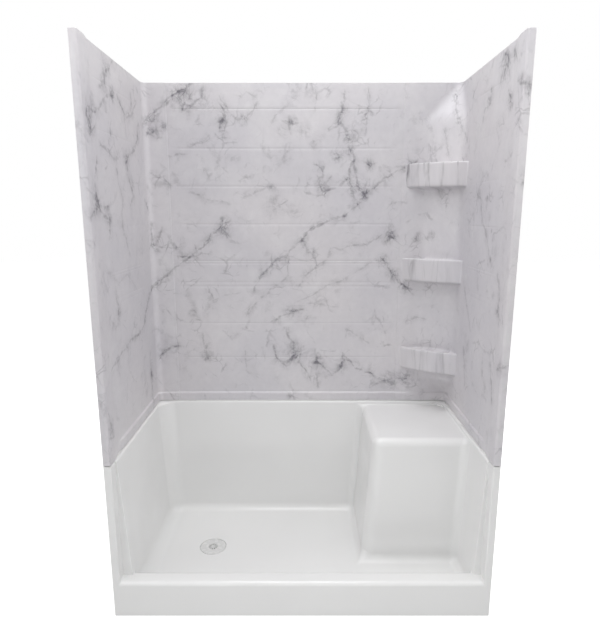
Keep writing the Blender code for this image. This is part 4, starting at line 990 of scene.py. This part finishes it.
def dress(node, finish, bevel):
    """Give a construction piece its finish, smooth shading, and bevelled edges or crisp ones."""
    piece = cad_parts[node]
    piece.data.materials.clear()
    piece.data.materials.append(finish)
    piece.data.shade_smooth()
    weld = piece.modifiers.new("weld", "WELD")
    weld.merge_threshold = WELD_DISTANCE
    if bevel:
        soften_edges(piece, bevel, SOFT_ANGLE)
    else:
        split = piece.modifiers.new("sharp_edges", "EDGE_SPLIT")
        split.split_angle = SOFT_ANGLE
        piece.modifiers.new("face_normals", "WEIGHTED_NORMAL")


def soften_edges(piece, width, angle):
    """Bevel the edges that are sharper than the angle, and keep the faces flat between them."""
    edges = piece.modifiers.new("soft_edges", "BEVEL")
    edges.width = width
    edges.segments = 2
    edges.limit_method = "ANGLE"
    edges.angle_limit = angle
    piece.modifiers.new("face_normals", "WEIGHTED_NORMAL")


LATHE_STEPS = 96
LATHE_SHARP_ANGLE = math.radians(40)


def lathe(name, profile, centre, finish):
    """Turn a closed outline of (radius, height) points about a vertical line."""
    angles = np.linspace(0, 2 * math.pi, LATHE_STEPS, endpoint=False)
    places = [
        (centre[0] + radius * math.cos(angle), centre[1] + radius * math.sin(angle), height)
        for angle in angles for radius, height in profile]
    count = len(profile)
    faces = []
    for step in range(LATHE_STEPS):
        here = step * count
        there = (step + 1) % LATHE_STEPS * count
        for index in range(count):
            after = (index + 1) % count
            faces.append((here + index, there + index, there + after, here + after))
    piece = add_piece(name, places, faces, finish)
    piece.data.set_sharp_from_angle(angle=LATHE_SHARP_ANGLE)
    return piece


def slot_cutter(centre, low, high):
    """Upright bars with round ends, one for each slot, as one object to cut with."""
    slots = bmesh.new()
    for index in range(SLOTS):
        angle = 2 * math.pi * index / SLOTS
        way = np.array([math.cos(angle), math.sin(angle)])
        side = np.array([-way[1], way[0]])
        points = []
        for end, turn in ((SLOT_END - SLOT_RADIUS, -math.pi / 2), (SLOT_START + SLOT_RADIUS, math.pi / 2)):
            for step in range(SLOT_END_STEPS + 1):
                spin = turn + math.pi * step / SLOT_END_STEPS
                points.append(np.array(centre) + way * (end + SLOT_RADIUS * math.cos(spin))
                              + side * SLOT_RADIUS * math.sin(spin))
        below = [slots.verts.new((x, y, low)) for x, y in points]
        above = [slots.verts.new((x, y, high)) for x, y in points]
        slots.faces.new(below[::-1])
        slots.faces.new(above)
        for first in range(len(points)):
            second = (first + 1) % len(points)
            slots.faces.new((below[first], below[second], above[second], above[first]))
    mesh = bpy.data.meshes.new("slot_cutter")
    slots.to_mesh(mesh)
    slots.free()
    cutter = bpy.data.objects.new("slot_cutter", mesh)
    bpy.context.collection.objects.link(cutter)
    return cutter


def cut_away(piece, cutter):
    """Cut one object out of another for good, and remove the cutter."""
    cut = piece.modifiers.new("slots", "BOOLEAN")
    cut.object = cutter
    cut.operation = "DIFFERENCE"
    bpy.context.view_layer.update()
    graph = bpy.context.evaluated_depsgraph_get()
    final = bpy.data.meshes.new_from_object(piece.evaluated_get(graph))
    piece.modifiers.clear()
    piece.data = final
    bpy.data.objects.remove(cutter)


def build_strainer(finish):
    """The lift-out strainer: a plate with a bevelled rim, round-ended slots and a plug skirt."""
    low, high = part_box("drain_strainer")
    centre = ((low.x + high.x) / 2, (low.y + high.y) / 2)
    radius = (high.x - low.x) / 2
    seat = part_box("drain_body")[1].z + STRAINER_GAP
    inside = STRAINER_SKIRT - STRAINER_SKIRT_WALL
    profile = [
        (STRAINER_HUB, high.z), (STRAINER_HUB, seat), (inside, seat), (inside, low.z),
        (STRAINER_SKIRT, low.z), (STRAINER_SKIRT, seat), (radius, seat),
    ]
    profile += [(radius - inset, high.z - drop) for inset, drop in STRAINER_EDGE]
    plate = lathe("strainer", profile, centre, finish)
    cut_away(plate, slot_cutter(centre, seat - SLOT_OVERRUN, high.z + SLOT_OVERRUN))
    soften_edges(plate, STRAINER_EDGE_WIDTH, STRAINER_EDGE_ANGLE)
    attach(plate, "strainer")
    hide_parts("drain_strainer")


def dress_all():
    """Build the new pieces and give every construction piece its material."""
    wall = marble_material()
    drain = drain_material()
    foam = foam_material()
    wood = plywood_material()
    build_walls(wall)
    build_tower(wall)
    build_strainer(drain)
    # Each row has a material, the width of its soft edges and the nodes that wear it
    for finish, bevel, *nodes in (
            (pan_material(), 0.0, "shower_pan"),
            (drain, 0.0, "drain_body"),
            (drain, 0.0006, "drain_locknut"),
            (rubber_material(), 0.0004, "drain_gasket"),
            (fibre_material(), 0.0003, "drain_friction_washer"),
            (foam, 0.0012, "back_backer", "left_backer", "right_backer"),
            (foam, 0.002, "floor_support_pad", "threshold_core"),
            (wood, 0.0008, "seat_board", "seat_front_leg", "seat_rear_leg"),
            (wood, 0.0012, "back_left_post", "back_right_post", "left_post", "right_post"),
            (sealant_material(), 0.0008, "left_rim_seal", "right_rim_seal", "back_rim_seal"),
            (tape_material(), 0.0, "left_lap_tape", "right_lap_tape")):
        for node in nodes:
            dress(node, finish, bevel)


# Stage

def seen_directly(tree):
    """A socket that is 1 for camera, glossy and transmission rays, and 0 for all others."""
    ray = tree.nodes.new("ShaderNodeLightPath").outputs
    total = ray["Is Camera Ray"]
    for name in ("Is Glossy Ray", "Is Transmission Ray"):
        join = tree.nodes.new("ShaderNodeMath")
        join.operation = "ADD"
        join.use_clamp = True
        tree.links.new(total, join.inputs[0])
        tree.links.new(ray[name], join.inputs[1])
        total = join.outputs[0]
    return total


def build_floor():
    """A pale floor that keeps the object's shadow."""
    half = FLOOR_HALF_SIZE
    places = [(-half, -half, 0), (half, -half, 0), (half, half, 0), (-half, half, 0)]
    n = Nodes("pale_floor")
    finish = n.made(
        Roughness=0.9,
        Specular_IOR_Level=0.1,
        Base_Color=(FLOOR_TONE, FLOOR_TONE, FLOOR_TONE),
        Emission_Color=(1.0, 1.0, 1.0),
        Emission_Strength=n.times(seen_directly(n.tree), FLOOR_GLOW))
    floor = add_piece("floor", places, [(0, 1, 2, 3)], finish)


def build_world():
    """A white surrounding that lights the object more weakly than it shows."""
    world = bpy.data.worlds.new("studio")
    bpy.context.scene.world = world
    world.use_nodes = True
    tree = world.node_tree
    lit = tree.nodes["Background"]
    seen = tree.nodes.new("ShaderNodeBackground")
    choose = tree.nodes.new("ShaderNodeMixShader")
    tree.links.new(seen_directly(tree), choose.inputs[0])
    for node, strength, socket in ((lit, WORLD_STRENGTH, 1), (seen, 1.0, 2)):
        node.inputs["Color"].default_value = WHITE
        node.inputs["Strength"].default_value = strength
        tree.links.new(node.outputs[0], choose.inputs[socket])
    tree.links.new(choose.outputs[0], tree.nodes["World Output"].inputs["Surface"])


def add_lamp(name, place, aim, size, power):
    """A softbox at a place, turned to what it lights, with its size in metres and its power in watts."""
    data = bpy.data.lights.new(name, "AREA")
    data.shape = "RECTANGLE"
    data.size, data.size_y = size
    data.energy = power
    lamp = bpy.data.objects.new(name, data)
    bpy.context.collection.objects.link(lamp)
    lamp.location = place
    toward = np.array(aim) - np.array(place)
    lamp.rotation_euler = Vector(toward).to_track_quat("-Z", "Y").to_euler()


def build_lights():
    """Soft lights from above, from both sides in pairs, low from the front, and from the rear."""
    add_lamp("ceiling_softbox", (0.0, -0.2, 3.7), (0.0, 0.0, 0.5), (1.6, 1.2), 31.0)
    add_lamp("opening_softbox", (0.0, -0.95, 2.6), (0.0, 0.0, 1.0), (0.9, 0.5), 7.0)
    for side, name, far, near in ((-1, "left", 16.5, 7.0), (1, "right", 13.0, 5.8)):
        add_lamp(f"{name}_softbox", (3.0 * side, -1.3, 1.9), (-0.6 * side, 0.1, 0.9), (1.6, 1.6), far)
        add_lamp(f"{name}_fill", (1.3 * side, -1.3, 1.9), (-0.5 * side, 0.1, 1.1), (0.9, 1.2), near)
        add_lamp(f"{name}_side_softbox", (3.4 * side, 0.7, 1.2), (0.68 * side, 0.0, 1.0), (1.0, 1.0), 22.0)
    add_lamp("low_fill", (0.0, -1.5, 0.35), (0.0, 0.2, 0.5), (1.6, 0.4), 3.5)
    add_lamp("rear_softbox", (0.0, 3.2, 1.4), (0.0, 0.3, 1.0), (2.0, 1.0), 45.0)


def build_camera():
    data = bpy.data.cameras.new("camera")
    camera = bpy.data.objects.new("camera", data)
    bpy.context.collection.objects.link(camera)
    camera.location = CAMERA_PLACE
    camera.rotation_euler = (CAMERA_TILT, 0.0, 0.0)
    data.lens = CAMERA_LENS
    data.sensor_width = CAMERA_SENSOR
    data.shift_x = CAMERA_SHIFT
    bpy.context.scene.camera = camera


dress_all()
build_floor()
build_world()
build_lights()
build_camera()
bpy.context.scene.view_settings.view_transform = "Standard"
